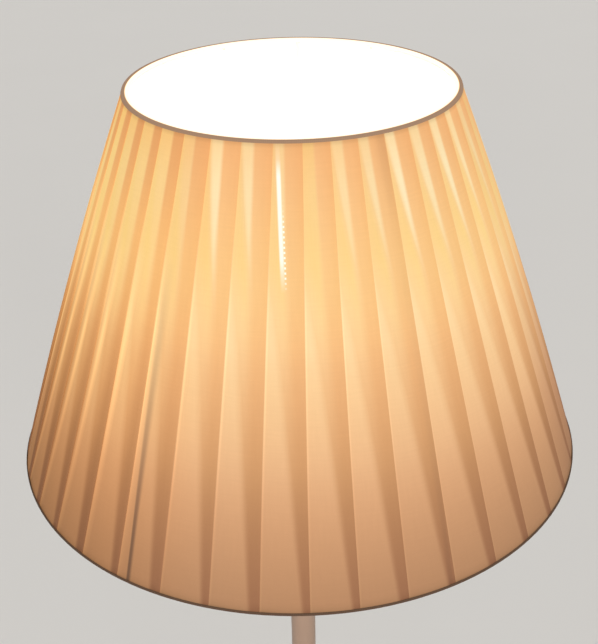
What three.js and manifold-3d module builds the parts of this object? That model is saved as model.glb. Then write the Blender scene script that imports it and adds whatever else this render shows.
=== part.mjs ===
// Floor lamp: a knife-pleated empire shade on a slim round stem with a weighted, flared base.
// Millimetres, +Z up. The origin is the centre of the base on the floor, and -Y is the front.
// Angles about the lamp are measured from the front towards +X.

import * as THREE from 'three';
import { mergeVertices } from 'three/addons/utils/BufferGeometryUtils.js';
import Module from 'manifold-3d';

const wasm = await Module();
wasm.setup();

// Fits
const seatGap = 0.3; // between pieces that bear on each other

// Shade: sizes over the folds of the cloth
const lampHeight = 1500; // floor to the top edge of the shade
const shadeHeight = 261.5;
const shadeTopDiameter = 214;
const shadeBottomDiameter = 400;

// Knife pleats: a straight strip of cloth folded the same way all round
const pleatCount = 40;
const pleatTopOverlap = 12; // width of the three-layer band at the top edge
const clothThickness = 0.3;
const foldGap = 0.2; // between the layers of a fold
const foldAngle = 1.1; // degrees to the first outer fold
const coverBelly = 2.8; // how far the folds stand off the wires half-way up

// Bindings over the two edges of the shade
const bindingThickness = 0.6;
const topBindingHeight = 1.6;
const bottomBindingHeight = 2.2;
const bindingTurnIn = 1.8; // height of the leg inside the shade

// Wire frame and lining
const ribCount = 6;
const ribDiameter = 2.6;
const ribAngle = 27.2; // degrees to the first rib
const ringDiameter = 2.8;
const armCount = 3;
const armDiameter = 2.8;
const facetAllowance = 0.2; // room for the flat facets of the cloth over the wires
const liningThickness = 0.6;
const liningTopDrop = 9; // top edge of the shade to the top edge of the lining

// Fitter ring, hung in the shade and clamped on the lampholder
const fitterDrop = 128; // top edge of the shade to the top of the ring
const fitterDiameter = 62;
const fitterThickness = 2;
const armInset = 2.6; // outer edge of the fitter ring to the arm's axis
const clampDiameter = 50;
const clampHeight = 6.4;
const clampEdge = 1; // lead-in on the outer edges

// Lampholder
const holderDiameter = 40;
const holderWall = 2;
const holderHeight = 44;
const threadAboveFitter = 8; // fitter ring to the rim of the lampholder
const holderCapDiameter = 38;
const holderCapHeight = 18;
const holderCapWall = 1.5;
const holderCapShoulder = 6.3;
const socketDepth = 26; // rim of the lampholder to the tip of the bulb
const contactHeight = 4;
const contactWidth = 5;
const contactSheet = 0.6;
const contactClearance = 2; // between the contact and the screw shell
const screwShellBore = 27;
const screwShellWall = 0.6;
const screwShellMouth = 18; // hole in its floor for the centre contact
const insulatorRimDrop = 2; // rim of the lampholder to the rim of the insulator
const holderNippleDiameter = 10;
const holderNippleBore = 7;
const nippleGrip = 9; // length of the nipple in each piece it joins
const capNutFlats = 15;
const capNutThickness = 4;

// Turn switch on the front of the lampholder
const spindleDiameter = 5;
const spindleDepth = 9; // length of the spindle inside the insulator
const spindleLength = 30;
const spindleDrop = 36.5; // rim of the lampholder to the spindle's axis
const knobDiameter = 15;
const knobLength = 15;
const knobBoreDepth = 10;
const knobCrown = 1.9; // bevel at the front, and taper towards the lampholder

// Bulb
const bulbLength = 108;
const bulbDiameter = 60;
const bulbNeckDiameter = 24.4;
const bulbJoinAngle = -38; // degrees from the globe's equator to where the neck's curve meets it
const bulbGlass = 1;
const bulbCapDiameter = 26;
const bulbCapWall = 0.5;
const bulbCapHeight = 23;
const bulbTipDiameter = 9;
const bulbTipHeight = 1.6;
const bulbInsulatorHeight = 4;

// Stem
const stemDiameter = 20;
const stemWall = 1.2;
const stemSections = 3;
const spigotLength = 30;
const couplerFlange = 4;
const couplerBore = 9;
const stemCapHeight = 10;
const stemCapRim = 3.3; // height of the straight part of the cap
const stemCapTopDiameter = 15;

// Base
const baseDiameter = 280;
const baseRimHeight = 16; // floor to the top of the rim
const baseCentreHeight = 44; // floor to the seat of the stem
const baseWall = 1.5;
const baseFillet = 6;
const baseFlarePower = 2.5;
const baseSeatDiameter = 38; // flat seat at the top of the flare
const baseRimClearance = 1.5; // floor to the lower edge of the cover
const feltThickness = 3;
const feltInset = 8;
const feltBore = 120;
const nippleDiameter = 13;
const nippleBore = 9;
const nippleAboveSeat = 28;
const baseNutFlats = 22;
const baseNutThickness = 6;
const washerDiameter = 36;
const washerThickness = 2.4;
const counterboreDiameter = 46;
const collarDiameter = 34;
const collarHeight = 14;
const collarRim = 3.5; // height of the collar's straight rim
const collarWaist = 7; // seat of the stem to where the collar turns up to the tube
const collarLip = 1.7; // wall at the top edge of the collar

// Lead inside the lamp, and the gland it enters by
const leadDiameter = 5.5;
const leadBend = 7.5; // radius of the bend under the stem
const glandBodyDiameter = 8.4;
const glandFlangeDiameter = 13;
const glandFlangeThickness = 3;
const glandInnerLength = 6;
const glandRecess = 1; // outer face of the gland to the end of the lead

// Facets of round pieces
const smallFacets = 16;
const mediumFacets = 28;
const baseFacets = 48;
const ringFacets = 48;
const ringSides = 6;
const wireSides = 8;
const coverRows = 4; // bands of the cloth from edge to edge
const bulbCurveSteps = 3;
const filletSteps = 2;
const flareSteps = 6;
const leadSteps = 20;
const weldDistance = 0.001; // corners closer than this are one

// Shade, worked out
const shadeTopRadius = shadeTopDiameter / 2;
const shadeBottomRadius = shadeBottomDiameter / 2;
const shadeBottomZ = lampHeight - shadeHeight;
const shadeSlope = (shadeBottomRadius - shadeTopRadius) / shadeHeight;
const slantFactor = Math.hypot(1, shadeSlope); // radial thickness of a layer one unit thick
const layerStep = clothThickness + foldGap;
const clothStack = clothThickness + 2 * layerStep;
const coverTopZ = lampHeight - bindingThickness - seatGap;
const coverBottomZ = shadeBottomZ + bindingThickness + seatGap;
const ringRadius = ringDiameter / 2;
const ribRadius = ribDiameter / 2;
const wireInset = clothStack + facetAllowance + seatGap + Math.max(ringRadius, ribRadius) * slantFactor;
const topRingZ = coverTopZ - ringRadius;
const bottomRingZ = coverBottomZ + ringRadius;
const liningInset = wireInset + ribRadius * slantFactor + seatGap;
const liningTopZ = lampHeight - liningTopDrop;
const liningBottomZ = bottomRingZ + ringRadius + seatGap;

// Heights of the lampholder, bulb and stem, worked out from the fitter ring
const fitterTopZ = lampHeight - fitterDrop;
const holderRimZ = fitterTopZ + threadAboveFitter;
const holderBottomZ = holderRimZ - holderHeight;
const holderCapBottomZ = holderBottomZ - seatGap - holderCapHeight;
const bulbTipZ = holderRimZ - socketDepth;
const bulbTopZ = bulbTipZ + bulbLength;
const insulatorTopZ = bulbTipZ - contactHeight;
const spindleZ = holderRimZ - spindleDrop;
const stemCapTopZ = holderCapBottomZ - seatGap;
const stemTopZ = stemCapTopZ - stemCapHeight - seatGap;
const stemBottomZ = baseCentreHeight + seatGap + couplerFlange + seatGap;
const jointHeight = couplerFlange + 2 * seatGap;
const tubeLength = (stemTopZ - stemBottomZ - (stemSections - 1) * jointHeight) / stemSections;
const stemRadius = stemDiameter / 2;
const spigotRadius = stemRadius - stemWall - seatGap;

// Base, worked out
const baseRadius = baseDiameter / 2;
const weightBottomZ = feltThickness + seatGap;
const glandZ = feltThickness + seatGap + glandBodyDiameter / 2;
const nippleBottomZ = glandZ + leadBend;
const nutBottomZ = nippleBottomZ + seatGap;
const washerBottomZ = nutBottomZ + baseNutThickness + seatGap;
const counterboreTopZ = washerBottomZ + washerThickness + seatGap;

const deg = THREE.MathUtils.degToRad;

// Radius of the shade over its folds at a height
function coneRadius(z) {
  return shadeBottomRadius - shadeSlope * (z - shadeBottomZ);
}

// Radius over the folds with the cloth's belly, which is nothing at the two edges
function coverRadius(z) {
  const share = (z - coverBottomZ) / (coverTopZ - coverBottomZ);
  return coneRadius(z) + 4 * coverBelly * share * (1 - share);
}

// A point about the lamp's axis, with its angle in radians from the front
function around(angle, radius, z) {
  return new THREE.Vector3(radius * Math.sin(angle), -radius * Math.cos(angle), z);
}

// Materials
function finish(color, roughness, metalness) {
  return new THREE.MeshStandardMaterial({ color, roughness, metalness });
}

const creamPaint = finish(0xe4d8c4, 0.45, 0.1);
const whitePaint = finish(0xeeeae0, 0.5, 0.1);
const castIron = finish(0x3a3836, 0.8, 0.6);
const steel = finish(0xa9a9a6, 0.4, 0.9);
const brass = finish(0xb08d4a, 0.35, 0.9);
const darkPlastic = finish(0x2b2724, 0.5, 0);
const porcelain = finish(0xe9e6de, 0.3, 0);
const solder = finish(0x9a9a98, 0.45, 0.8);
const opalGlass = finish(0xfff1d8, 0.25, 0);
const pleatCloth = finish(0xe3c79c, 0.95, 0);
const liningCloth = finish(0xf1e9da, 0.95, 0);
const bindingTape = finish(0x7a6552, 0.95, 0);
const felt = finish(0x2f2c29, 1, 0);
const rubber = finish(0x241f1c, 0.8, 0);

// Revolves a profile of [radius, height] points, listed anticlockwise, about the Z axis
function turned(profile, facets, startAngle = 0) {
  const points = profile.map(([radius, z]) => new THREE.Vector2(radius, z));
  const closesOnAxis = profile[0][0] === 0 && profile.at(-1)[0] === 0;
  if (!closesOnAxis) points.push(points[0].clone());
  const geometry = new THREE.LatheGeometry(points, facets, startAngle);
  return geometry.rotateX(Math.PI / 2);
}

function tubeProfile(boreRadius, outerRadius, bottomZ, topZ) {
  return [[boreRadius, bottomZ], [outerRadius, bottomZ], [outerRadius, topZ], [boreRadius, topZ]];
}

// A straight round bar between two points
function rod(from, to, radius, sides = wireSides) {
  const direction = new THREE.Vector3().subVectors(to, from);
  const geometry = new THREE.CylinderGeometry(radius, radius, direction.length(), sides);
  const turn = new THREE.Quaternion().setFromUnitVectors(THREE.Object3D.DEFAULT_UP, direction.normalize());
  const middle = new THREE.Vector3().addVectors(from, to).multiplyScalar(0.5);
  return geometry.applyQuaternion(turn).translate(middle.x, middle.y, middle.z);
}

// A hexagon nut standing on a height
function hexNut(acrossFlats, boreRadius, bottomZ, thickness) {
  const corner = acrossFlats / 2 / Math.cos(deg(30));
  const corners = [0, 1, 2, 3, 4, 5].map((side) => {
    return new THREE.Vector2(corner * Math.cos(deg(60 * side)), corner * Math.sin(deg(60 * side)));
  });
  const outline = new THREE.Shape(corners);
  outline.holes.push(new THREE.Path().absarc(0, 0, boreRadius, 0, 2 * Math.PI, true));
  const options = { depth: thickness, bevelEnabled: false, curveSegments: smallFacets / 2 };
  return new THREE.ExtrudeGeometry(outline, options).translate(0, 0, bottomZ);
}

// A closed solid for joining and cutting, without the seams and slivers of the drawn mesh
function solidOf(geometry) {
  const bare = geometry.clone();
  bare.deleteAttribute('normal');
  bare.deleteAttribute('uv');
  const merged = mergeVertices(bare, weldDistance);
  const corners = merged.index.array;
  const triVerts = [];
  for (let i = 0; i < corners.length; i += 3) {
    const [a, b, c] = corners.slice(i, i + 3);
    if (a !== b && b !== c && c !== a) triVerts.push(a, b, c);
  }
  const vertProperties = new Float32Array(merged.attributes.position.array);
  return new wasm.Manifold(new wasm.Mesh({ numProp: 3, vertProperties, triVerts: new Uint32Array(triVerts) }));
}

function cut(geometry, tool) {
  const { vertProperties, triVerts } = solidOf(geometry).subtract(solidOf(tool)).getMesh();
  const result = new THREE.BufferGeometry();
  result.setAttribute('position', new THREE.BufferAttribute(vertProperties, 3));
  result.setIndex(new THREE.BufferAttribute(triVerts, 1));
  result.computeVertexNormals();
  return result;
}

const lamp = new THREE.Group();
lamp.name = 'floor_lamp';

function add(name, geometry, material, group = lamp) {
  const mesh = new THREE.Mesh(geometry, material);
  mesh.name = name;
  group.add(mesh);
  return mesh;
}

// Knife-pleated cover.
// Each pleat is a panel that rises from the inner layer to the outer fold, turns back under itself
// as the middle layer, and turns again at the inner fold. Six corners describe its section: how many
// pleats on, whether it lies one overlap back from the fold, its layer, and the way to its outer side.
function pleatedCover() {
  const pleatAngle = 2 * Math.PI / pleatCount;
  const stripWidth = pleatAngle * shadeTopRadius + 2 * pleatTopOverlap;
  const corners = [
    { pleat: 0, back: 1, layer: 0, along: 1, out: 1 },
    { pleat: 0, back: 0, layer: 0, along: 0, out: 1 },
    { pleat: 1, back: 1, layer: 2, along: 0, out: 1 },
    { pleat: 1, back: 0, layer: 2, along: 1, out: 1 },
    { pleat: 1, back: 0, layer: 1, along: 1, out: -1 },
    { pleat: 1, back: 1, layer: 1, along: 1, out: -1 },
  ];
  const returning = 4; // the corner that starts the middle layer
  const half = clothThickness / 2;
  const count = pleatCount * corners.length;
  const positions = [];
  for (let pleat = 0; pleat < pleatCount; pleat += 1) {
    for (const corner of corners) {
      for (const side of [1, -1]) {
        for (let row = 0; row <= coverRows; row += 1) {
          const z = THREE.MathUtils.lerp(coverBottomZ, coverTopZ, row / coverRows);
          const outer = coverRadius(z);
          const overlap = (stripWidth - pleatAngle * outer) / 2;
          const along = side * corner.along * half - corner.back * overlap;
          const angle = deg(foldAngle) + (pleat + corner.pleat) * pleatAngle + along / outer;
          const radius = outer - half - (2 - corner.layer) * layerStep + side * corner.out * half;
          positions.push(...around(angle, radius, z).toArray());
        }
      }
    }
  }
  // Corner index, side (0 outer face of the panel, 1 inner face), row (0 at the bottom edge)
  const vertex = (corner, side, row) => ((corner % count) * 2 + side) * (coverRows + 1) + row;
  const wall = (from, to, side, row) => [
    vertex(from, side, row), vertex(to, side, row), vertex(to, side, row + 1), vertex(from, side, row + 1),
  ];
  const faces = [];
  const quad = (a, b, c, d) => faces.push(a, b, c, a, c, d);
  for (let here = 0; here < count; here += 1) {
    const next = here + 1;
    for (let row = 0; row < coverRows; row += 1) {
      const outerFace = wall(here, next, 0, row);
      const innerFace = wall(next, here, 1, row);
      // Every layer is split along the same slanting line, so that the layers of a fold stay apart
      if (here % corners.length === returning) {
        quad(outerFace[1], outerFace[2], outerFace[3], outerFace[0]);
        quad(...innerFace);
      } else {
        quad(...outerFace);
        quad(innerFace[1], innerFace[2], innerFace[3], innerFace[0]);
      }
    }
    quad(vertex(here, 0, 0), vertex(here, 1, 0), vertex(next, 1, 0), vertex(next, 0, 0));
    quad(vertex(here, 0, coverRows), vertex(next, 0, coverRows), vertex(next, 1, coverRows),
      vertex(here, 1, coverRows));
  }
  const geometry = new THREE.BufferGeometry();
  geometry.setAttribute('position', new THREE.Float32BufferAttribute(positions, 3));
  geometry.setIndex(faces);
  geometry.computeVertexNormals();
  return geometry;
}

// Folded tape over an edge of the shade: an outer leg, a top and a short leg inside the ring
function binding(edgeZ, inward, outerHeight, ringZ) {
  const webZ = edgeZ + inward * bindingThickness;
  const outerZ = edgeZ + inward * outerHeight;
  const innerZ = edgeZ + inward * bindingTurnIn;
  const cloth = (z) => coneRadius(z) + seatGap;
  const legRadius = coneRadius(ringZ) - wireInset - ringRadius - seatGap - bindingThickness;
  const profile = [
    [legRadius, edgeZ],
    [cloth(edgeZ) + bindingThickness, edgeZ],
    [cloth(outerZ) + bindingThickness, outerZ],
    [cloth(outerZ), outerZ],
    [cloth(webZ), webZ],
    [legRadius + bindingThickness, webZ],
    [legRadius + bindingThickness, innerZ],
    [legRadius, innerZ],
  ];
  if (inward < 0) profile.reverse();
  return turned(profile, 2 * pleatCount, deg(foldAngle));
}

function wireRing(z) {
  const centre = coneRadius(z) - wireInset;
  const section = [];
  for (let side = 0; side < ringSides; side += 1) {
    const angle = 2 * Math.PI * side / ringSides;
    section.push([centre + ringRadius * Math.cos(angle), z + ringRadius * Math.sin(angle)]);
  }
  return turned(section, ringFacets, deg(ribAngle));
}

function frameRib(angle) {
  const foot = around(angle, coneRadius(bottomRingZ) - wireInset, bottomRingZ);
  const head = around(angle, coneRadius(topRingZ) - wireInset, topRingZ);
  const step = new THREE.Vector3().subVectors(head, foot).setLength(ringRadius + seatGap);
  return rod(foot.add(step), head.sub(step), ribRadius);
}

// A straight arm from the top ring down to the fitter ring, ending square just above its face
function fitterArm(angle) {
  const armRadius = armDiameter / 2;
  const head = around(angle, coneRadius(topRingZ) - wireInset, topRingZ);
  const foot = around(angle, fitterDiameter / 2 - armInset, fitterTopZ + seatGap + armRadius);
  const step = new THREE.Vector3().subVectors(foot, head).setLength(ringRadius + seatGap);
  return rod(foot, head.add(step), armRadius);
}

function addShade() {
  add('pleated_cover', pleatedCover(), pleatCloth);
  add('top_binding', binding(lampHeight, -1, topBindingHeight, topRingZ), bindingTape);
  add('bottom_binding', binding(shadeBottomZ, 1, bottomBindingHeight, bottomRingZ), bindingTape);
  add('top_ring', wireRing(topRingZ), whitePaint);
  add('bottom_ring', wireRing(bottomRingZ), whitePaint);
  for (let rib = 0; rib < ribCount; rib += 1) {
    add(`rib_${rib + 1}`, frameRib(deg(ribAngle) + 2 * Math.PI * rib / ribCount), whitePaint);
  }
  for (let arm = 0; arm < armCount; arm += 1) {
    const betweenRibs = deg(ribAngle) + Math.PI / ribCount;
    add(`fitter_arm_${arm + 1}`, fitterArm(betweenRibs + 2 * Math.PI * arm / armCount), whitePaint);
  }
  const lining = (z) => coneRadius(z) - liningInset;
  const liningProfile = [
    [lining(liningBottomZ) - liningThickness, liningBottomZ],
    [lining(liningBottomZ), liningBottomZ],
    [lining(liningTopZ), liningTopZ],
    [lining(liningTopZ) - liningThickness, liningTopZ],
  ];
  add('lining', turned(liningProfile, 2 * pleatCount), liningCloth);
  const fitterBore = holderDiameter / 2 + seatGap;
  const fitterBottomZ = fitterTopZ - fitterThickness;
  add('fitter_ring', turned(tubeProfile(fitterBore, fitterDiameter / 2, fitterBottomZ, fitterTopZ),
    mediumFacets), whitePaint);
}

// A threaded ring that grips the fitter ring, with a small lead-in on its outer edges
function clampRing(bottomZ) {
  const bore = holderDiameter / 2 + seatGap;
  const outer = clampDiameter / 2;
  const topZ = bottomZ + clampHeight;
  return turned([
    [bore, bottomZ], [outer - clampEdge, bottomZ], [outer, bottomZ + clampEdge],
    [outer, topZ - clampEdge], [outer - clampEdge, topZ], [bore, topZ],
  ], mediumFacets);
}

function addLampholder() {
  const shellRadius = holderDiameter / 2;
  const shellBore = shellRadius - holderWall;
  const spindleHole = rod(new THREE.Vector3(0, -spindleDepth, spindleZ),
    new THREE.Vector3(0, -holderDiameter, spindleZ), spindleDiameter / 2 + seatGap, smallFacets);
  const shell = turned(tubeProfile(shellBore, shellRadius, holderBottomZ, holderRimZ), mediumFacets);
  add('holder_shell', cut(shell, spindleHole), darkPlastic);

  const insulatorRadius = shellBore - seatGap;
  const screwShellRadius = screwShellBore / 2 + screwShellWall;
  const insulatorRimZ = holderRimZ - insulatorRimDrop;
  const insulator = turned([
    [0, holderBottomZ], [insulatorRadius, holderBottomZ], [insulatorRadius, insulatorRimZ],
    [screwShellRadius + seatGap, insulatorRimZ], [screwShellRadius + seatGap, insulatorTopZ], [0, insulatorTopZ],
  ], mediumFacets);
  add('holder_insulator', cut(insulator, spindleHole), porcelain);

  const floorZ = insulatorTopZ + seatGap;
  add('screw_shell', turned([
    [screwShellMouth / 2, floorZ], [screwShellRadius, floorZ], [screwShellRadius, insulatorRimZ],
    [screwShellBore / 2, insulatorRimZ], [screwShellBore / 2, floorZ + screwShellWall],
    [screwShellMouth / 2, floorZ + screwShellWall],
  ], mediumFacets), brass);
  add('centre_contact', centreContact(floorZ), brass);

  const capRadius = holderCapDiameter / 2;
  const capBore = holderNippleDiameter / 2 + seatGap;
  const capTopZ = holderCapBottomZ + holderCapHeight;
  const shoulderZ = holderCapBottomZ + holderCapShoulder;
  add('holder_cap', turned([
    [capBore, holderCapBottomZ], [capRadius - holderCapShoulder, holderCapBottomZ],
    [capRadius, shoulderZ], [capRadius, capTopZ], [capRadius - holderCapWall, capTopZ],
    [capRadius - holderCapWall, shoulderZ + holderCapWall / 2],
    [capRadius - holderCapShoulder - holderCapWall / 2, holderCapBottomZ + holderCapWall],
    [capBore, holderCapBottomZ + holderCapWall],
  ], mediumFacets), darkPlastic);
  const nutZ = holderCapBottomZ + holderCapWall + seatGap;
  add('cap_nut', hexNut(capNutFlats, capBore, nutZ, capNutThickness), steel);
  add('holder_nipple', turned(tubeProfile(holderNippleBore / 2, holderNippleDiameter / 2,
    stemCapTopZ - nippleGrip, holderCapBottomZ + nippleGrip), smallFacets), steel);

  add('lower_shade_ring', clampRing(fitterTopZ - fitterThickness - seatGap - clampHeight), darkPlastic);
  add('upper_shade_ring', clampRing(fitterTopZ + seatGap), darkPlastic);
}

// A strip bent back over itself, which presses on the tip of the bulb
function centreContact(bottomZ) {
  const height = contactHeight - 2 * seatGap;
  const reach = screwShellMouth / 2 - contactClearance;
  const bend = reach / 2;
  const sheet = contactSheet;
  const outline = new THREE.Shape([
    new THREE.Vector2(-reach, 0), new THREE.Vector2(bend, 0), new THREE.Vector2(bend + sheet, sheet),
    new THREE.Vector2(bend + sheet, height - sheet), new THREE.Vector2(bend, height),
    new THREE.Vector2(-bend, height), new THREE.Vector2(-bend, height - sheet),
    new THREE.Vector2(bend, height - sheet), new THREE.Vector2(bend, sheet), new THREE.Vector2(-reach, sheet),
  ]);
  const strip = new THREE.ExtrudeGeometry(outline, { depth: contactWidth, bevelEnabled: false });
  return strip.rotateX(Math.PI / 2).translate(0, contactWidth / 2, bottomZ);
}

function addSwitch() {
  const turnSwitch = new THREE.Group();
  turnSwitch.position.set(0, 0, spindleZ);
  turnSwitch.rotation.x = Math.PI / 2; // local +Z points to the front
  lamp.add(turnSwitch);
  const spindleStart = spindleDepth + seatGap;
  const spindleEnd = spindleStart + spindleLength;
  const spindleRadius = spindleDiameter / 2;
  add('switch_spindle', rod(new THREE.Vector3(0, 0, spindleStart), new THREE.Vector3(0, 0, spindleEnd),
    spindleRadius, smallFacets / 2), brass, turnSwitch);
  const boreEnd = spindleEnd + seatGap;
  const knobStart = boreEnd - knobBoreDepth;
  const knobEnd = knobStart + knobLength;
  const knobRadius = knobDiameter / 2;
  add('switch_knob', turned([
    [spindleRadius + seatGap, knobStart], [knobRadius - knobCrown, knobStart], [knobRadius, knobEnd - knobCrown],
    [knobRadius - knobCrown, knobEnd], [0, knobEnd], [0, boreEnd], [spindleRadius + seatGap, boreEnd],
  ], smallFacets), darkPlastic, turnSwitch);
}

// Outline of the bulb's glass, from the end of its neck to the crown, drawn in by an inset
function bulbOutline(neckEndZ, inset) {
  const globeRadius = bulbDiameter / 2 - inset;
  const centreZ = bulbTopZ - bulbDiameter / 2;
  const neckRadius = bulbNeckDiameter / 2 - inset;
  const capTopZ = neckEndZ + bulbCapHeight;
  const joinAngle = deg(bulbJoinAngle);
  const joinRadius = globeRadius * Math.cos(joinAngle);
  const joinZ = centreZ + globeRadius * Math.sin(joinAngle);
  const reach = (joinZ - capTopZ) / 2;
  const path = new THREE.Path();
  path.moveTo(neckRadius, neckEndZ);
  path.lineTo(neckRadius, capTopZ);
  path.bezierCurveTo(neckRadius, capTopZ + reach, joinRadius + reach * Math.sin(joinAngle),
    joinZ - reach * Math.cos(joinAngle), joinRadius, joinZ);
  path.absarc(0, centreZ, globeRadius, joinAngle, Math.PI / 2);
  const points = path.getPoints(bulbCurveSteps).map(({ x, y }) => [x, y]);
  points.at(-1)[0] = 0;
  return points;
}

function addBulb() {
  const tipRadius = bulbTipDiameter / 2;
  const tipTopZ = bulbTipZ + bulbTipHeight;
  add('bulb_tip', turned([
    [0, bulbTipZ], [tipRadius / 2, bulbTipZ], [tipRadius, tipTopZ], [0, tipTopZ],
  ], smallFacets), solder);
  const insulatorZ = tipTopZ + seatGap;
  const capBottomZ = insulatorZ + bulbInsulatorHeight + seatGap;
  const capRadius = bulbCapDiameter / 2;
  add('bulb_insulator', turned([
    [0, insulatorZ], [tipRadius, insulatorZ], [capRadius - bulbCapWall, insulatorZ + bulbInsulatorHeight],
    [0, insulatorZ + bulbInsulatorHeight],
  ], smallFacets), darkPlastic);
  add('bulb_cap', turned(tubeProfile(capRadius - bulbCapWall, capRadius, capBottomZ, capBottomZ + bulbCapHeight),
    mediumFacets), solder);
  const outside = bulbOutline(capBottomZ + seatGap, 0);
  const inside = bulbOutline(capBottomZ + seatGap, bulbGlass).reverse();
  add('bulb_globe', turned([...outside, ...inside], mediumFacets), opalGlass);
}

function addStem() {
  for (let section = 0; section < stemSections; section += 1) {
    const bottomZ = stemBottomZ + section * (tubeLength + jointHeight);
    const profile = tubeProfile(stemRadius - stemWall, stemRadius, bottomZ, bottomZ + tubeLength);
    add(`stem_tube_${section + 1}`, turned(profile, mediumFacets), creamPaint);
  }
  for (let joint = 1; joint < stemSections; joint += 1) {
    const flangeZ = stemBottomZ + joint * (tubeLength + jointHeight) - couplerFlange - seatGap;
    const flangeTopZ = flangeZ + couplerFlange;
    add(`stem_coupler_${joint}`, turned([
      [couplerBore / 2, flangeZ - spigotLength], [spigotRadius, flangeZ - spigotLength], [spigotRadius, flangeZ],
      [stemRadius, flangeZ], [stemRadius, flangeTopZ], [spigotRadius, flangeTopZ],
      [spigotRadius, flangeTopZ + spigotLength], [couplerBore / 2, flangeTopZ + spigotLength],
    ], smallFacets), creamPaint);
  }
  const footBore = nippleDiameter / 2 + seatGap;
  const footZ = baseCentreHeight + seatGap;
  const footTopZ = footZ + couplerFlange;
  add('stem_foot', turned([
    [footBore, footZ], [stemRadius, footZ], [stemRadius, footTopZ], [spigotRadius, footTopZ],
    [spigotRadius, footTopZ + spigotLength], [footBore, footTopZ + spigotLength],
  ], smallFacets), steel);
  const capBore = holderNippleDiameter / 2 + seatGap;
  const capZ = stemTopZ + seatGap;
  add('stem_cap', turned([
    [capBore, capZ - spigotLength], [spigotRadius, capZ - spigotLength], [spigotRadius, capZ],
    [stemRadius, capZ], [stemRadius, capZ + stemCapRim],
    [stemCapTopDiameter / 2, stemCapTopZ], [capBore, stemCapTopZ],
  ], smallFacets), creamPaint);
  const collarBore = stemRadius + seatGap;
  const collarZ = baseCentreHeight + seatGap;
  const collarTopZ = collarZ + collarHeight;
  const collarRadius = collarDiameter / 2;
  add('stem_collar', turned([
    [collarBore, collarZ], [collarRadius, collarZ], [collarRadius, collarZ + collarRim],
    [collarBore + 2 * collarLip, collarZ + collarWaist], [collarBore + collarLip, collarTopZ],
    [collarBore, collarTopZ],
  ], mediumFacets), creamPaint);
}

// Outline of the base from the rim to the seat of the stem, drawn in by an inset:
// a rounded rim, then a flare that steepens towards the stem
function baseOutline(inset) {
  const filletCentre = baseRadius - baseFillet;
  const outline = [];
  for (let step = 0; step <= filletSteps; step += 1) {
    const angle = Math.PI / 2 * step / filletSteps;
    const radius = baseFillet - inset;
    outline.push([filletCentre + radius * Math.cos(angle),
      baseRimHeight - baseFillet + radius * Math.sin(angle)]);
  }
  for (let step = 1; step <= flareSteps; step += 1) {
    const share = step / flareSteps;
    const rise = (baseCentreHeight - baseRimHeight) * share ** baseFlarePower;
    outline.push([filletCentre + share * (baseSeatDiameter / 2 - filletCentre), baseRimHeight - inset + rise]);
  }
  return outline;
}

// The lead's route: in along the groove, round the bend under the stem and up to the lampholder
class LeadPath extends THREE.Curve {
  getPoint(t) {
    const grooveShare = 0.15;
    const bendShare = 0.5;
    const bendTopZ = glandZ + leadBend;
    const outerEnd = baseRadius + seatGap + glandFlangeThickness - glandRecess;
    const topZ = holderBottomZ - seatGap;
    if (t < grooveShare) {
      return new THREE.Vector3(0, THREE.MathUtils.lerp(outerEnd, leadBend, t / grooveShare), glandZ);
    }
    if (t < bendShare) {
      const angle = Math.PI / 2 * (t - grooveShare) / (bendShare - grooveShare);
      return new THREE.Vector3(0, leadBend * (1 - Math.sin(angle)), bendTopZ - leadBend * Math.cos(angle));
    }
    return new THREE.Vector3(0, 0, THREE.MathUtils.lerp(bendTopZ, topZ, (t - bendShare) / (1 - bendShare)));
  }

  // Steps are shared out among the three stretches, and not by length
  getUtoTmapping(u) {
    return u;
  }
}

function supplyLead() {
  const corners = [];
  for (let side = 0; side < wireSides; side += 1) {
    const angle = 2 * Math.PI * side / wireSides;
    corners.push(new THREE.Vector2(leadDiameter / 2 * Math.cos(angle), leadDiameter / 2 * Math.sin(angle)));
  }
  const options = { steps: leadSteps, bevelEnabled: false, extrudePath: new LeadPath() };
  return new THREE.ExtrudeGeometry(new THREE.Shape(corners), options);
}

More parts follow.
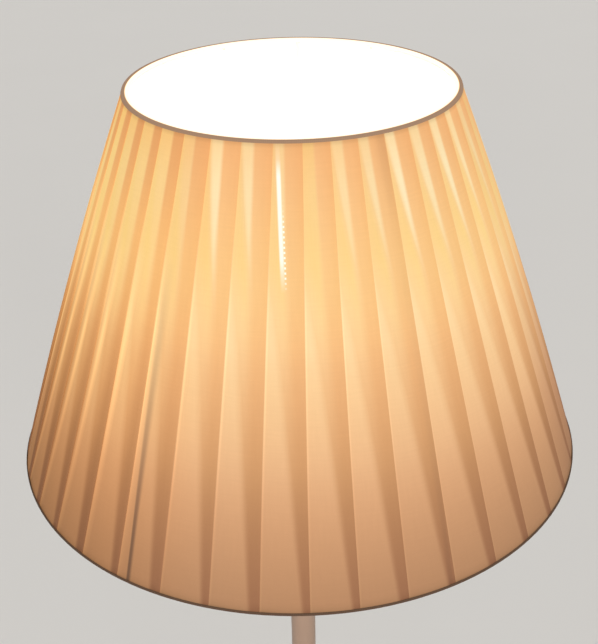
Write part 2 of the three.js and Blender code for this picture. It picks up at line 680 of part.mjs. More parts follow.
function addBase() {
  const glandHole = rod(new THREE.Vector3(0, baseRadius / 2, glandZ),
    new THREE.Vector3(0, baseDiameter, glandZ), glandBodyDiameter / 2 + seatGap, smallFacets);
  const nippleHole = nippleDiameter / 2 + seatGap;
  const cover = turned([
    [baseRadius - baseWall, baseRimClearance], [baseRadius, baseRimClearance], ...baseOutline(0),
    [nippleHole, baseCentreHeight], [nippleHole, baseCentreHeight - baseWall], ...baseOutline(baseWall).reverse(),
  ], baseFacets);
  add('base_cover', cut(cover, glandHole), creamPaint);

  const weightInset = baseWall + seatGap;
  const weight = turned([
    [counterboreDiameter / 2, weightBottomZ], [baseRadius - weightInset, weightBottomZ],
    ...baseOutline(weightInset), [nippleHole, baseCentreHeight - weightInset],
    [nippleHole, counterboreTopZ], [counterboreDiameter / 2, counterboreTopZ],
  ], baseFacets);
  const grooveHeight = 2 * (glandZ + glandBodyDiameter / 2 + seatGap - weightBottomZ);
  const grooveWidth = glandBodyDiameter + 2 * seatGap;
  const groove = new THREE.BoxGeometry(grooveWidth, baseRadius, grooveHeight);
  groove.translate(0, baseRadius / 2 + counterboreDiameter / 4, weightBottomZ);
  add('base_weight', cut(weight, groove), castIron);

  add('felt_ring', turned(tubeProfile(feltBore / 2, baseRadius - feltInset, 0, feltThickness), baseFacets), felt);
  add('base_nipple', turned(tubeProfile(nippleBore / 2, nippleDiameter / 2, nippleBottomZ,
    baseCentreHeight + nippleAboveSeat), smallFacets), steel);
  add('base_nut', hexNut(baseNutFlats, nippleHole, nutBottomZ, baseNutThickness), steel);
  add('base_washer', turned(tubeProfile(nippleHole, washerDiameter / 2, washerBottomZ,
    washerBottomZ + washerThickness), mediumFacets), steel);

  const gland = new THREE.Group();
  gland.position.set(0, 0, glandZ);
  gland.rotation.x = -Math.PI / 2; // local +Z points to the back
  lamp.add(gland);
  const glandBore = leadDiameter / 2 + seatGap;
  const flangeStart = baseRadius + seatGap;
  const flangeEnd = flangeStart + glandFlangeThickness;
  const glandStart = baseRadius - baseWall - glandInnerLength;
  add('lead_gland', turned([
    [glandBore, glandStart], [glandBodyDiameter / 2, glandStart], [glandBodyDiameter / 2, flangeStart],
    [glandFlangeDiameter / 2, flangeStart], [glandFlangeDiameter / 2, flangeEnd - glandFlangeThickness / 2],
    [glandBodyDiameter / 2, flangeEnd], [glandBore, flangeEnd],
  ], smallFacets), rubber, gland);
  add('supply_lead', supplyLead(), rubber);
}

addBase();
addStem();
addLampholder();
addSwitch();
addBulb();
addShade();

export default lamp;
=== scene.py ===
import math

import bmesh
import bpy
from bpy.props import FloatProperty, FloatVectorProperty, IntProperty, PointerProperty
from bpy.types import Operator, Panel, PropertyGroup
from mathutils import Matrix, Vector


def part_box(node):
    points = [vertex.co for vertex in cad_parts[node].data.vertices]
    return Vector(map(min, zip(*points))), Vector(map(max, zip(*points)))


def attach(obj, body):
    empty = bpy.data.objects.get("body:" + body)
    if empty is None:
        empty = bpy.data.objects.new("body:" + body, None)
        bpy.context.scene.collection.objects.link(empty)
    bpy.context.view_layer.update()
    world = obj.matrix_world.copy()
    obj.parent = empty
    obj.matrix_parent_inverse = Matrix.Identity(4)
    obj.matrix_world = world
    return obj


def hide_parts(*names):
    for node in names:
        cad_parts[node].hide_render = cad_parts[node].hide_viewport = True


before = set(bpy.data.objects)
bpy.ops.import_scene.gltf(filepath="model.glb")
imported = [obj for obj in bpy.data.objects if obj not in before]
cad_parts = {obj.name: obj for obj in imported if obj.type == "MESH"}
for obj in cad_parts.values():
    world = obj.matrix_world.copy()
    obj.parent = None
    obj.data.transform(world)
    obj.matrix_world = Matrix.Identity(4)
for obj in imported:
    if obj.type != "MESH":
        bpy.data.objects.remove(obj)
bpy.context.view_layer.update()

bl_info = {
    "name": "Pleated Floor Lamp",
    "version": (1, 0, 0),
    "blender": (4, 5, 0),
    "location": "View3D > Sidebar > Floor Lamp",
    "description": "Dresses the floor lamp's solids: folded cloth shade, lit bulb, stem, base "
                   "and fittings",
    "category": "Object",
}

COVER_LOW, COVER_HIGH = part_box("pleated_cover")
LINING_LOW, LINING_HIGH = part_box("lining")
TAPE_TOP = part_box("top_binding")[1]
TAPE_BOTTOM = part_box("bottom_binding")[0]

QUARTER_TURN, FULL_TURN = math.pi / 2.0, 2.0 * math.pi
ROUND_STEPS, RING_STEPS, SHADE_STEPS = 96, 120, 168
PLAY = 0.0003           # between pieces that bear on each other
HOLDER_RADIUS, HOLDER_BORE = 0.020, 0.018


# Settings

def length(label, text, default):
    return FloatProperty(name=label, description=text, default=default, min=0.0, unit="LENGTH",
                         precision=5)


def turn(label, text, degrees):
    return FloatProperty(name=label, description=text, default=math.radians(degrees),
                         subtype="ANGLE", unit="ROTATION")


def colour(label, text, default):
    return FloatVectorProperty(name=label, description=text, default=default, size=3,
                               subtype="COLOR", min=0.0, soft_max=1.0)


def level(label, text, default, least=0.0):
    return FloatProperty(name=label, description=text, default=default, min=least)


def count(label, text, default, least):
    return IntProperty(name=label, description=text, default=default, min=least)


class ShadeSizes(PropertyGroup):
    top_radius: length("Top radius", "Over the folds, at the top edge", 0.107)
    bottom_radius: length("Bottom radius", "Over the folds, at the bottom edge", 0.200)
    top_edge: length("Top edge", "Floor to the top edge", TAPE_TOP.z)
    bottom_edge: length("Bottom edge", "Floor to the bottom edge", TAPE_BOTTOM.z)
    pleats: count("Pleats", "Knife pleats round the shade", 40, 3)
    top_overlap: length("Top overlap", "Width of a fold's three layers at the top edge", 0.012)
    first_fold: turn("First fold", "From the front of the lamp to the first outer fold", 1.1)
    cloth: length("Cloth", "Thickness of the pleated cloth", 0.0002)
    fold_gap: length("Fold gap", "Air between the layers of a fold at the edges", 0.00003)
    fold_opening: length("Fold opening", "Further air between the layers half-way up", 0.00045)
    belly: length("Belly", "How far the folds stand off the wires half-way up", 0.0028)
    lean: turn("Lean", "How far the folds at the front lean over at the top edge", 1.87)
    lean_at: turn("Lean at", "Where the folds lean most", -7.0)
    lean_spread: turn("Lean spread", "How far that lean reaches to each side", 18.0)
    bow: turn("Bow", "How far the folds at the sides bow to the front half-way up", 0.9)
    splay: turn("Splay", "How far the folds at the sides stand away from the front", 1.8)
    stray: turn("Stray", "How far the folds stray from even spacing at the bottom edge", 0.45)
    rows: count("Rows", "Divisions of the cloth from edge to edge", 30, 2)
    ribs: count("Ribs", "Wires from ring to ring", 6, 1)
    first_rib: turn("First rib", "From the front of the lamp to the first rib", 27.2)
    wire: length("Wire", "Radius of the ribs", 0.0013)
    ring_wire: length("Ring wire", "Radius of the rings and arms", 0.0014)
    wire_inset: length("Wire inset", "Outside of the folds to the wires' axes", 0.003286)
    lining_inset: length("Lining inset", "Outside of the folds to the lining", 0.004966)
    lining: length("Lining", "Thickness of the lining", 0.0004)
    lining_pull: length("Lining pull", "How far the lining draws in between the ribs", 0.0012)
    ring_inset: length("Ring inset", "Edges of the shade to the rings' wire", 0.0009)
    tape: length("Tape", "Thickness of the edge tape", 0.0003)
    tape_stand_off: length("Tape stand-off", "Folds to the inside of the tape", 0.0001)
    top_tape: length("Top tape", "Height of the tape outside the top edge", 0.0014)
    bottom_tape: length("Bottom tape", "Height of the tape outside the bottom edge", 0.0015)
    tape_turn_in: length("Turn-in", "Height of the tape inside the edges", 0.0018)


class ShadeGlow(PropertyGroup):
    cloth: colour("Cloth", "The cloth's own colour", (0.25, 0.118, 0.062))
    single_top: colour("Single, top", "Glow of one layer at the top", (0.74, 0.615, 0.33))
    single_upper: colour("Single, upper", "Glow of one layer by the bulb", (0.745, 0.71, 0.45))
    single_middle: colour("Single, middle", "Glow of one layer half-way", (0.745, 0.575, 0.30))
    single_lower: colour("Single, lower", "Glow of one layer lower down", (0.515, 0.315, 0.158))
    single_bottom: colour("Single, bottom", "Glow of one layer at the foot", (0.195, 0.113, 0.056))
    fold_top: colour("Fold, top", "Glow of a fold at the top", (0.637, 0.322, 0.114))
    fold_upper: colour("Fold, upper", "Glow of a fold by the bulb", (0.69, 0.43, 0.155))
    fold_middle: colour("Fold, middle", "Glow of a fold half-way", (0.61, 0.345, 0.135))
    fold_lower: colour("Fold, lower", "Glow of a fold lower down", (0.305, 0.160, 0.061))
    fold_bottom: colour("Fold, bottom", "Glow of a fold at the foot", (0.055, 0.021, 0.009))
    turn_top: level("Turn line, top", "Share of a pleat that glows as one layer, at the top", 0.41)
    turn_bottom: level("Turn line, bottom", "The same share at the bottom edge", 0.84)
    # painted light: on the left flank the one-layer glow reaches further across each pleat at the
    # top
    turn_left_flank: level("Turn line, yellowed", "Further share at the top of the yellowed side", 0.19)
    turn_stray: level("Turn line, stray", "How far that share differs from pleat to pleat", 0.035)
    streak_slope: level("Streak slope", "Pleats that a bright streak's left side crosses", 1.8)
    wedge_start: level("Wedge start", "Share of the way down where the lower glow starts", 0.24)
    wedge_bend: level("Wedge bend", "Below 1, the lower glow widens fast at first", 0.62)
    under_top: level("Under light, top", "Share of the full glow left of a streak", 0.42)
    under_middle: level("Under light, middle", "That share where the lower glow starts", 0.60)
    under_bottom: level("Under light, bottom", "That share beside the lower glow", 0.10)
    # painted highlight along a line across each face of the left flank
    ridge: level("Ridge", "Further light on the ridge across a yellowed face", 0.42)
    band_light: level("Fold light", "Share of the full glow in a fold beside its turn line", 0.16)
    between: colour("Between", "Tint between a streak and the lower glow", (1.0, 0.99, 0.73))
    # painted shade on the left flank: its glow is tinted warmer and darker, more so in its middle
    # towards the bottom, and its own colour is darkened
    left_painted_shade: colour("Yellowed", "Tint of the side that has yellowed", (1.05, 0.90, 0.745))
    left_painted_shade_deep: colour("Deep yellowed", "Further tint of that side's middle, towards the bottom",
                          (0.785, 0.755, 0.62))
    left_painted_shade_cloth: colour("Yellowed cloth", "Tint of that side's own colour", (0.89, 0.88, 0.84))
    left_painted_shade_at: turn("Yellowed at", "Middle of the yellowed side, from the front", -80.0)
    # painted shade: the right flank's glow is tinted darker
    right_painted_shade: colour("Dulled", "Tint of the side whose cloth has dulled", (0.78, 0.74, 0.76))
    right_painted_shade_at: turn("Dulled at", "Middle of the dulled side, from the front", 88.0)
    rib_shadow: colour("Rib shadow", "What a rib's shadow leaves of the light", (0.33, 0.36, 0.46))
    seam: colour("Seam", "Light that leaks through the seam", (1.0, 0.94, 0.84))
    lining: colour("Lining", "Light from the lining above the bulb", (1.0, 0.97, 0.91))
    lining_middle: colour("Lining, middle", "The same beside the bulb", (0.62, 0.54, 0.41))
    lining_lower: colour("Lining, lower", "The same below the bulb", (0.36, 0.27, 0.165))
    lining_bottom: colour("Lining, bottom", "The same at the bottom edge", (0.22, 0.155, 0.088))
    lining_strength: level("Lining strength", "How strongly the lining is lit", 1.0)
    bulb: colour("Bulb", "Light of the bulb's glass", (1.0, 0.90, 0.72))
    bulb_strength: level("Bulb strength", "How strongly the bulb's glass is lit", 4.0)
    tape: colour("Tape", "Edge tape", (0.125, 0.073, 0.046))
    tape_glow: colour("Tape glow", "Light through the tape at the top edge", (0.22, 0.14, 0.09))


class StandSizes(PropertyGroup):
    stem_radius: length("Stem radius", "Outside of the stem's tubes", 0.010)
    stem_wall: length("Stem wall", "Wall of the stem's tubes", 0.0012)
    edge: length("Edge", "Rounding of the turned pieces' edges", 0.0005)
    base_radius: length("Base radius", "Outside of the base", 0.140)
    base_rim: length("Base rim", "Floor to the top of the rim", 0.016)
    base_centre: length("Base centre", "Floor to the seat of the stem", 0.044)
    base_wall: length("Base wall", "Wall of the base's cover", 0.0015)
    base_fillet: length("Base fillet", "Rounding of the rim", 0.006)
    base_seat: length("Base seat", "Radius of the seat of the stem", 0.019)
    base_flare: level("Flare", "How late the base rises to the stem", 2.5, 1.0)
    paint: colour("Paint", "Paint of the stem and base", (0.36, 0.238, 0.170))


class StageSizes(PropertyGroup):
    eye: FloatVectorProperty(name="Eye", description="Place of the camera", size=3, precision=5,
                             default=(0.0, -0.68114, 1.70944), subtype="XYZ", unit="LENGTH")
    pitch: turn("Pitch", "How far the camera looks down", 29.422)
    yaw: turn("Yaw", "How far the camera looks to the right", 0.124)
    roll: turn("Roll", "How far the camera is tilted", -1.175)
    lens: level("Lens", "Focal length on a 36 mm sensor, in millimetres", 61.43, 1.0)
    floor: colour("Floor", "Pale floor", (0.80, 0.78, 0.75))
    sky: level("Surrounding light", "Strength of the even light from all round", 0.33)
    backdrop: level("Backdrop", "Strength of the pale backdrop as it is seen", 0.78)
    key: level("Key light", "Strength of the broad soft light from the front", 2.2)
    back: level("Back light", "Strength of the broad soft light from behind", 0.9)
    softness: turn("Softness", "How wide the two broad lights are", 35.0)


# Materials

def shaded(tone, share):
    return tuple(channel * share for channel in tone)


class Nodes:
    """Adds the nodes of a material or a world, and joins their sockets."""

    def __init__(self, owner):
        owner.use_nodes = True
        self.nodes, self.links = owner.node_tree.nodes, owner.node_tree.links

    def feed(self, socket, value):
        if isinstance(value, bpy.types.NodeSocket):
            self.links.new(value, socket)
        elif socket.type == "RGBA" and len(value) == 3:
            socket.default_value = (*value, 1.0)
        else:
            socket.default_value = value

    def fill(self, node, *values):
        """Feeds a node's first sockets."""
        for socket, value in zip(node.inputs, values):
            self.feed(socket, value)
        return node

    def node(self, kind, *values, **settings):
        made = self.nodes.new(kind)
        for name, value in settings.items():
            setattr(made, name, value)
        return self.fill(made, *values)

    def sum(self, operation, *values):
        return self.node("ShaderNodeMath", *values, operation=operation).outputs[0]


class Finish(Nodes):
    """A material under construction."""

    def __init__(self, name):
        self.material = bpy.data.materials.new(name)
        super().__init__(self.material)
        self.surface = self.nodes["Principled BSDF"]

    def set(self, **values):
        for name, value in values.items():
            self.feed(self.surface.inputs[name.replace("_", " ")], value)

    def no_lamp(self):
        """The finished material, whose glow is seen but not searched for as a light."""
        self.material.cycles.emission_sampling = "NONE"
        return self.material

    def place(self):
        return self.node("ShaderNodeTexCoord").outputs["Object"]

    def height(self):
        return self.node("ShaderNodeSeparateXYZ", self.place()).outputs["Z"]

    def strip(self):
        return self.node("ShaderNodeUVMap", uv_map="strip").outputs["UV"]

    def mark(self, name):
        return self.node("ShaderNodeAttribute", attribute_name=name).outputs["Fac"]

    def noise(self, vector, scale, detail=3.0, roughness=0.55):
        """Noise of one scale, or of one for each axis."""
        if isinstance(scale, tuple):
            mapping = self.node("ShaderNodeMapping", vector)
            mapping.inputs["Scale"].default_value = scale
            vector, scale = mapping.outputs["Vector"], 1.0
        made = self.node("ShaderNodeTexNoise", vector)
        made.inputs["Scale"].default_value = scale
        made.inputs["Detail"].default_value = detail
        made.inputs["Roughness"].default_value = roughness
        return made.outputs["Fac"]

    def spread(self, value, low, high, start=0.0, end=1.0, smooth=False):
        kind = "SMOOTHSTEP" if smooth else "LINEAR"
        return self.node("ShaderNodeMapRange", value, low, high, start, end,
                         interpolation_type=kind).outputs["Result"]

    def between(self, share, start, end):
        return self.spread(share, 0.0, 1.0, start, end)

    def times(self, first, *others):
        for other in others:
            first = self.sum("MULTIPLY", first, other)
        return first

    def rest(self, share):
        return self.sum("SUBTRACT", 1.0, share)

    def wave(self, value, wavelength):
        return self.sum("SINE", self.times(value, FULL_TURN / wavelength))

    def mix(self, share, first, second, blend="MIX"):
        made = self.node("ShaderNodeMix", data_type="RGBA", blend_type=blend)
        for index, value in ((0, share), (6, first), (7, second)):
            self.feed(made.inputs[index], value)
        return made.outputs[2]

    def tint(self, share, tone, by):
        return self.mix(share, tone, by, "MULTIPLY")

    def vary(self, share, tone, darker, lighter):
        return self.mix(share, shaded(tone, darker), shaded(tone, lighter))

    def ramp(self, value, stops, tones):
        made = self.node("ShaderNodeValToRGB", value)
        made.color_ramp.interpolation = "CARDINAL"
        elements = made.color_ramp.elements
        while len(elements) < len(stops):
            elements.new(0.5)
        for element, stop, tone in zip(elements, stops, tones):
            element.position, element.color = stop, (*tone, 1.0)
        return made.outputs["Color"]

    def bump(self, value, distance, strength=1.0):
        made = self.node("ShaderNodeBump")
        made.inputs["Strength"].default_value = strength
        made.inputs["Distance"].default_value = distance
        self.feed(made.inputs["Height"], value)
        self.feed(self.surface.inputs["Normal"], made.outputs["Normal"])

    def weave(self, thread):
        """Plain weave on the cloth's own flat coordinates: over and under, a thread at a time."""
        flat = self.node("ShaderNodeSeparateXYZ", self.strip()).outputs
        across, along = (self.wave(flat[axis], 2.0 * thread) for axis in "XY")
        return self.sum("MULTIPLY_ADD", across, along)


# The pleated cloth's light. Most pairs are shares of the way down the cover, between which a thing
# grows or fades. A side, left or right is a pair of distances in metres, but the wedge's is in
# widths of its soft edge.
SINGLE_STOPS = (0.0, 0.12, 0.42, 0.70, 1.0)
FOLD_STOPS = (0.0, 0.27, 0.46, 0.72, 1.0)
LEFT_SHADE_SPAN = (0.4, 1.0)                                    # of the painted left-flank shade, where it counts in full
TURN_SOFTENS, TURN_FIRMS = (0.15, 0.45), (0.60, 1.0)
TURN_SIDE = (0.0012, 0.0045)
# painted highlight line across the faces of the left flank, and the painted shade left of it
RIDGE_SPAN, RIDGE_SIDE = (0.25, 0.50), (-0.008, -0.001)
RIDGE_LEFT, RIDGE_RIGHT = (-0.005, 0.0), (0.0, 0.0048)
STREAK_SIDE, WEDGE_SIDE = (-0.0030, 0.0022), (-1.2, 1.0)
WEDGE_FULL = 0.42
UNDER_RISES, UNDER_FALLS, UNDER_LEFT_FLANK = (0.20, 0.36), (0.38, 0.80), (0.28, 0.50)
BAND_SIDE, BAND_FADES = (-0.010, 0.0), (0.30, 0.60)
BETWEEN_FADES = (0.25, 0.45)
BEND_SPAN = (0.15, 0.40)
RIB_SPAN, RIB_CORE, RIB_LEFT, RIB_RIGHT = (0.1, 0.9), 0.0004, (-0.0070, -0.0030), (0.0050, 0.0016)
RIB_SHOWS, RIB_FADES_IN_FOLD, RIB_SHOWS_IN_FOLD = (0.25, 0.9), (0.0, 0.20), (0.5, 1.0)
EDGE_SIDE, EDGE_SPAN = (-0.0006, 0.0018), (0.20, 0.45)
# painted shadow of the top ring and tape on the cloth just below the top edge
TAPE_SHADOW = (0.003, 0.012)
# painted shade on the folds of the left flank
LEFT_FOLD_SHADE_TOP, LEFT_FOLD_SHADE_LOWER = (0.0, 0.22), (0.25, 0.60)
# painted shade deepening down the left flank, and painted shade on the right flank
LEFT_SHADE_DEEPENS, RIGHT_SHADE_SPAN = (0.2, 0.65), (0.35, 0.65)
SLIT_SIDE, STITCH_SIDE = (0.0005, 0.0018), (0.0003, 0.0008)
STITCH_ROW, STITCH_PITCH = 0.0017, 0.0027
PLEAT_THREAD, LINING_THREAD = 0.00042, 0.0005


def shades(glow, layer):
    return [getattr(glow, f"{layer}_{place}")
            for place in ("top", "upper", "middle", "lower", "bottom")]


def layer_share(made, down, ridged):
    """How far the cloth glows as one layer: not in a fold, and less in painted shade left of a
    ridge.
    """
    soft = made.times(made.spread(down, *TURN_SOFTENS, *TURN_SIDE),
                      made.spread(down, *TURN_FIRMS, 1.0, 0.5))
    share = made.spread(made.mark("to_turn"), made.times(soft, -1.0), soft, smooth=True)
    # painted shade left of the painted highlight line on the left flank
    left = made.spread(made.mark("from_ridge"), *RIDGE_SIDE, 0.45, 1.0)
    return made.times(share, made.between(ridged, 1.0, left))


def full_share(made, glow, down, left_shade_share):
    """How far one layer has its full glow: in its bright streak, and in the wedge lower down."""
    # the bright streak is painted weaker on the left flank
    streak = made.times(made.spread(made.mark("past_streak"), *STREAK_SIDE, smooth=True),
                        made.mark("streak_gain"), made.between(left_shade_share, 1.0, 0.4))
    wedge = made.times(made.spread(made.mark("to_wedge"), *WEDGE_SIDE, smooth=True),
                       made.spread(down, glow.wedge_start, WEDGE_FULL, 0.55, 1.0))
    return made.sum("MAXIMUM", streak, wedge)


def under_share(made, glow, down, left_shade_share):
    """How far one layer glows outside its streak and wedge."""
    share = made.sum("MINIMUM", made.spread(down, *UNDER_RISES, glow.under_top, glow.under_middle),
                     made.spread(down, *UNDER_FALLS, glow.under_middle, glow.under_bottom))
    # painted light: more glow at the top of the left flank
    return made.sum("ADD", share, made.times(left_shade_share, made.spread(down, *UNDER_LEFT_FLANK, 0.30, 0.0)))


def rib_share(made, down, one_layer):
    """A rib's shadow, soft and wide at the top and sharper lower down."""
    from_rib = made.mark("from_rib")
    shadow = made.times(
        made.spread(from_rib, made.spread(down, *RIB_SPAN, *RIB_LEFT), -RIB_CORE, smooth=True),
        made.spread(from_rib, RIB_CORE, made.spread(down, *RIB_SPAN, *RIB_RIGHT), 1.0, 0.0,
                    smooth=True))
    in_fold = made.sum("MAXIMUM", made.spread(down, *RIB_FADES_IN_FOLD, 0.22, 0.06),
                       made.spread(down, *RIB_SHOWS_IN_FOLD, 0.06, 0.16))
    in_face = made.spread(down, *RIB_SHOWS, 0.0, 0.85)
    return made.times(shadow, made.between(one_layer, in_fold, in_face))


def cloth_tone(made, glow, down, left_shade_share, ridged, one_layer):
    """Slubs, painted highlights on edges and ridges, and painted shade on the left flank's folds.
    """
    slubs = made.times(made.noise(made.strip(), (900.0, 60.0, 1.0), 2.0),
                       made.noise(made.strip(), (70.0, 700.0, 1.0), 2.0))
    edge = made.times(made.spread(made.mark("from_fold"), *EDGE_SIDE, 0.36, 0.0),
                      made.spread(down, *EDGE_SPAN, smooth=True), made.between(ridged, 1.0, 0.2))
    # painted highlight along the ridge line
    from_ridge = made.mark("from_ridge")
    ridge = made.sum("MINIMUM", made.spread(from_ridge, *RIDGE_LEFT, 0.0, glow.ridge),
                     made.spread(from_ridge, *RIDGE_RIGHT, glow.ridge, 0.0))
    bright = made.sum("ADD", edge, made.times(ridge, ridged, one_layer))
    left_fold_shade = made.sum("MINIMUM", made.spread(down, *LEFT_FOLD_SHADE_TOP, 0.87, 1.0),
                         made.spread(down, *LEFT_FOLD_SHADE_LOWER, 1.0, 0.83))
    # painted shadow under the top tape, and painted shade on the folds of the left flank
    return made.times(made.mark("pleat_tone"), made.spread(slubs, 0.1, 0.4, 0.975, 1.025),
                      made.sum("ADD", 1.0, bright), made.spread(down, *TAPE_SHADOW, 0.80, 1.0),
                      made.between(made.times(left_shade_share, made.rest(one_layer)), 1.0, left_fold_shade))


def seam_share(made):
    """Light through the slit beside the seam, and through the row of stitches."""
    from_seam = made.mark("from_seam")
    slit = made.spread(made.sum("ABSOLUTE", from_seam), *SLIT_SIDE, 1.0, 0.0, smooth=True)
    from_row = made.sum("ABSOLUTE", made.sum("ADD", from_seam, STITCH_ROW))
    stitches = made.times(
        made.spread(from_row, *STITCH_SIDE, 1.0, 0.0, smooth=True),
        made.spread(made.wave(made.height(), STITCH_PITCH), -0.1, 0.6, smooth=True))
    return made.sum("MAXIMUM", made.times(slit, made.mark("seam")),
                    made.times(stitches, made.mark("stitching")))


def pleat_cloth(glow):
    """Fine cloth lit from behind: the glow falls away from the bulb, and a fold's three layers
    hold it back."""
    made = Finish("lit_pleat_cloth")
    down = made.spread(made.height(), COVER_HIGH.z, COVER_LOW.z)
    # painted shade and highlights on the left flank: its mask, where it counts in full, and where
    # its painted ridge highlights show
    left_painted_shade = made.mark("left_painted_shade")
    left_shade_share = made.spread(left_painted_shade, *LEFT_SHADE_SPAN)
    ridged = made.times(left_shade_share, made.spread(down, *RIDGE_SPAN))
    one_layer = layer_share(made, down, ridged)
    full = full_share(made, glow, down, left_shade_share)
    rib = rib_share(made, down, one_layer)

    single = made.ramp(down, SINGLE_STOPS, shades(glow, "single"))
    fold = made.ramp(down, FOLD_STOPS, shades(glow, "fold"))
    clear = made.sum("MAXIMUM", full, under_share(made, glow, down, left_shade_share))
    band = made.times(made.spread(made.mark("to_turn"), *BAND_SIDE, 0.0, glow.band_light),
                      made.spread(down, *BAND_FADES, 1.0, 0.0))
    lit = made.mix(made.between(one_layer, band, clear), fold, single)
    beside = made.times(made.rest(full), made.spread(down, *BETWEEN_FADES, 1.0, 0.0), one_layer)
    lit = made.tint(beside, lit, glow.between)
    bend = made.times(made.mark("fold_edge"), made.spread(down, *BEND_SPAN), made.rest(ridged))
    lit = made.mix(bend, lit, single)
    lit = made.tint(1.0, lit, cloth_tone(made, glow, down, left_shade_share, ridged, one_layer))
    lit = made.tint(rib, lit, glow.rib_shadow)
    # painted shade: the left flank's glow is tinted warmer and darker, more so in its middle
    # towards the bottom
    lit = made.tint(left_painted_shade, lit, glow.left_painted_shade)
    deeper_left_shade = made.times(made.sum("SUBTRACT", left_painted_shade, 1.0), made.spread(down, *LEFT_SHADE_DEEPENS, 0.1, 1.0))
    lit = made.tint(deeper_left_shade, lit, glow.left_painted_shade_deep)
    # painted shade: the right flank's one-layer glow is tinted darker
    dull = made.times(made.mark("right_painted_shade"), one_layer, made.spread(down, *RIGHT_SHADE_SPAN, 0.30, 1.0))
    lit = made.tint(dull, lit, glow.right_painted_shade)
    lit = made.mix(seam_share(made), lit, glow.seam)

    threads = made.weave(PLEAT_THREAD)
    body = made.vary(made.spread(threads, -1.0, 1.0), glow.cloth, 0.92, 1.08)
    # painted shade: the left flank's own colour is darkened, and the ribs' painted shadow is added
    body = made.tint(rib, made.tint(left_shade_share, body, glow.left_painted_shade_cloth), glow.rib_shadow)
    made.set(Base_Color=body, Roughness=0.92, Specular_IOR_Level=0.12, Emission_Color=lit,
             Emission_Strength=1.0)
    made.bump(threads, 0.00002, 0.4)
    return made.no_lamp()


def inside_cloth(glow):
    """The same cloth seen from within, next to the bulb."""
    made = Finish("lit_cloth_inside")
    grain = made.noise(made.place(), (900.0, 900.0, 60.0))
    made.set(Base_Color=(0.62, 0.54, 0.42), Roughness=0.9, Specular_IOR_Level=0.1,
             Emission_Color=made.vary(grain, glow.lining, 0.92, 1.0),
             Emission_Strength=glow.lining_strength)
    return made.no_lamp()


def lining_cloth(glow):
    """White lining, brightest beside the bulb and warmer towards the bottom edge."""
    made = Finish("lit_lining")
    down = made.spread(made.height(), LINING_HIGH.z, LINING_LOW.z)
    lit = made.ramp(down, (0.0, 0.34, 0.52, 0.75, 1.0),
                    (glow.lining, glow.lining, glow.lining_middle, glow.lining_lower,
                     glow.lining_bottom))
    threads = made.weave(LINING_THREAD)
    slubs = made.noise(made.strip(), (60.0, 700.0, 1.0), 2.0)
    lit = made.tint(1.0, lit, made.spread(slubs, 0.3, 0.7, 0.96, 1.0))
    body = made.mix(made.spread(threads, -1.0, 1.0), (0.70, 0.65, 0.56), (0.78, 0.73, 0.65))
    made.set(Base_Color=body, Roughness=0.9, Specular_IOR_Level=0.15, Emission_Color=lit,
             Emission_Strength=glow.lining_strength)
    made.bump(threads, 0.00003, 0.4)
    return made.material


def edge_tape(glow):
    """Woven tape, brown outside and lit through where it turns over the edge to the inside."""
    made = Finish("edge_tape")
    ribbed = made.wave(made.mark("round"), 0.0011)
    slubs = made.noise(made.place(), (420.0, 420.0, 1500.0), 2.0)
    body = made.vary(made.spread(ribbed, -1.0, 1.0, 0.0, 0.7), glow.tape, 0.86, 1.14)
    body = made.mix(made.spread(slubs, 0.35, 0.7, 0.0, 0.5), body, shaded(glow.tape, 0.72))
    through = made.spread(made.mark("inward"), 0.0014, 0.0026)
    lit = made.ramp(through, (0.0, 0.30, 0.65, 1.0),
                    (glow.tape_glow, glow.tape_glow, (0.75, 0.46, 0.20), (1.0, 0.92, 0.76)))
    lit = made.mix(made.mark("top_edge"), (0.0, 0.0, 0.0), lit)
    made.set(Base_Color=body, Roughness=0.9, Specular_IOR_Level=0.15, Emission_Color=lit,
             Emission_Strength=1.2)
    made.bump(ribbed, 0.00006, 0.5)
    return made.no_lamp()


def satin_paint(name, tone, roughness):
    """Sprayed paint: faint orange peel, dust and a little variation in gloss."""
    made = Finish(name)
    place = made.place()
    speck = made.noise(place, 900.0, 1.0)
    body = made.vary(made.noise(place, 18.0, 4.0), tone, 0.93, 1.05)
    body = made.mix(made.spread(speck, 0.66, 0.74, 0.0, 0.25), body, shaded(tone, 0.7))
    gloss = made.spread(made.noise(place, 45.0), 0.3, 0.7, roughness - 0.06, roughness + 0.08)
    made.set(Base_Color=body, Roughness=gloss, Specular_IOR_Level=0.4)
    made.bump(made.noise(place, 1400.0, 2.0), 0.00004, 0.25)
    return made.material


def bare_metal(name, tone, roughness, grain):
    """Drawn or turned metal: fine lines along the grain, and dull patches."""
    made = Finish(name)
    lines = made.noise(made.place(), grain, 2.0)
    patches = made.noise(made.place(), 140.0)
    wear = made.sum("ADD", lines, patches)
    gloss = made.spread(wear, 0.6, 1.4, roughness - 0.1, roughness + 0.14)
    made.set(Base_Color=made.vary(patches, tone, 0.78, 1.06), Roughness=gloss, Metallic=1.0)
    made.bump(lines, 0.00003, 0.4)
    return made.material


def rough_iron(name, tone):
    """Sand-cast iron: a pitted skin."""
    made = Finish(name)
    pits = made.noise(made.place(), 260.0, 5.0, 0.65)
    made.set(Base_Color=made.vary(pits, tone, 0.6, 1.3),
             Roughness=made.spread(pits, 0.3, 0.7, 0.6, 0.88), Metallic=0.5)
    made.bump(pits, 0.0006, 0.8)
    return made.material


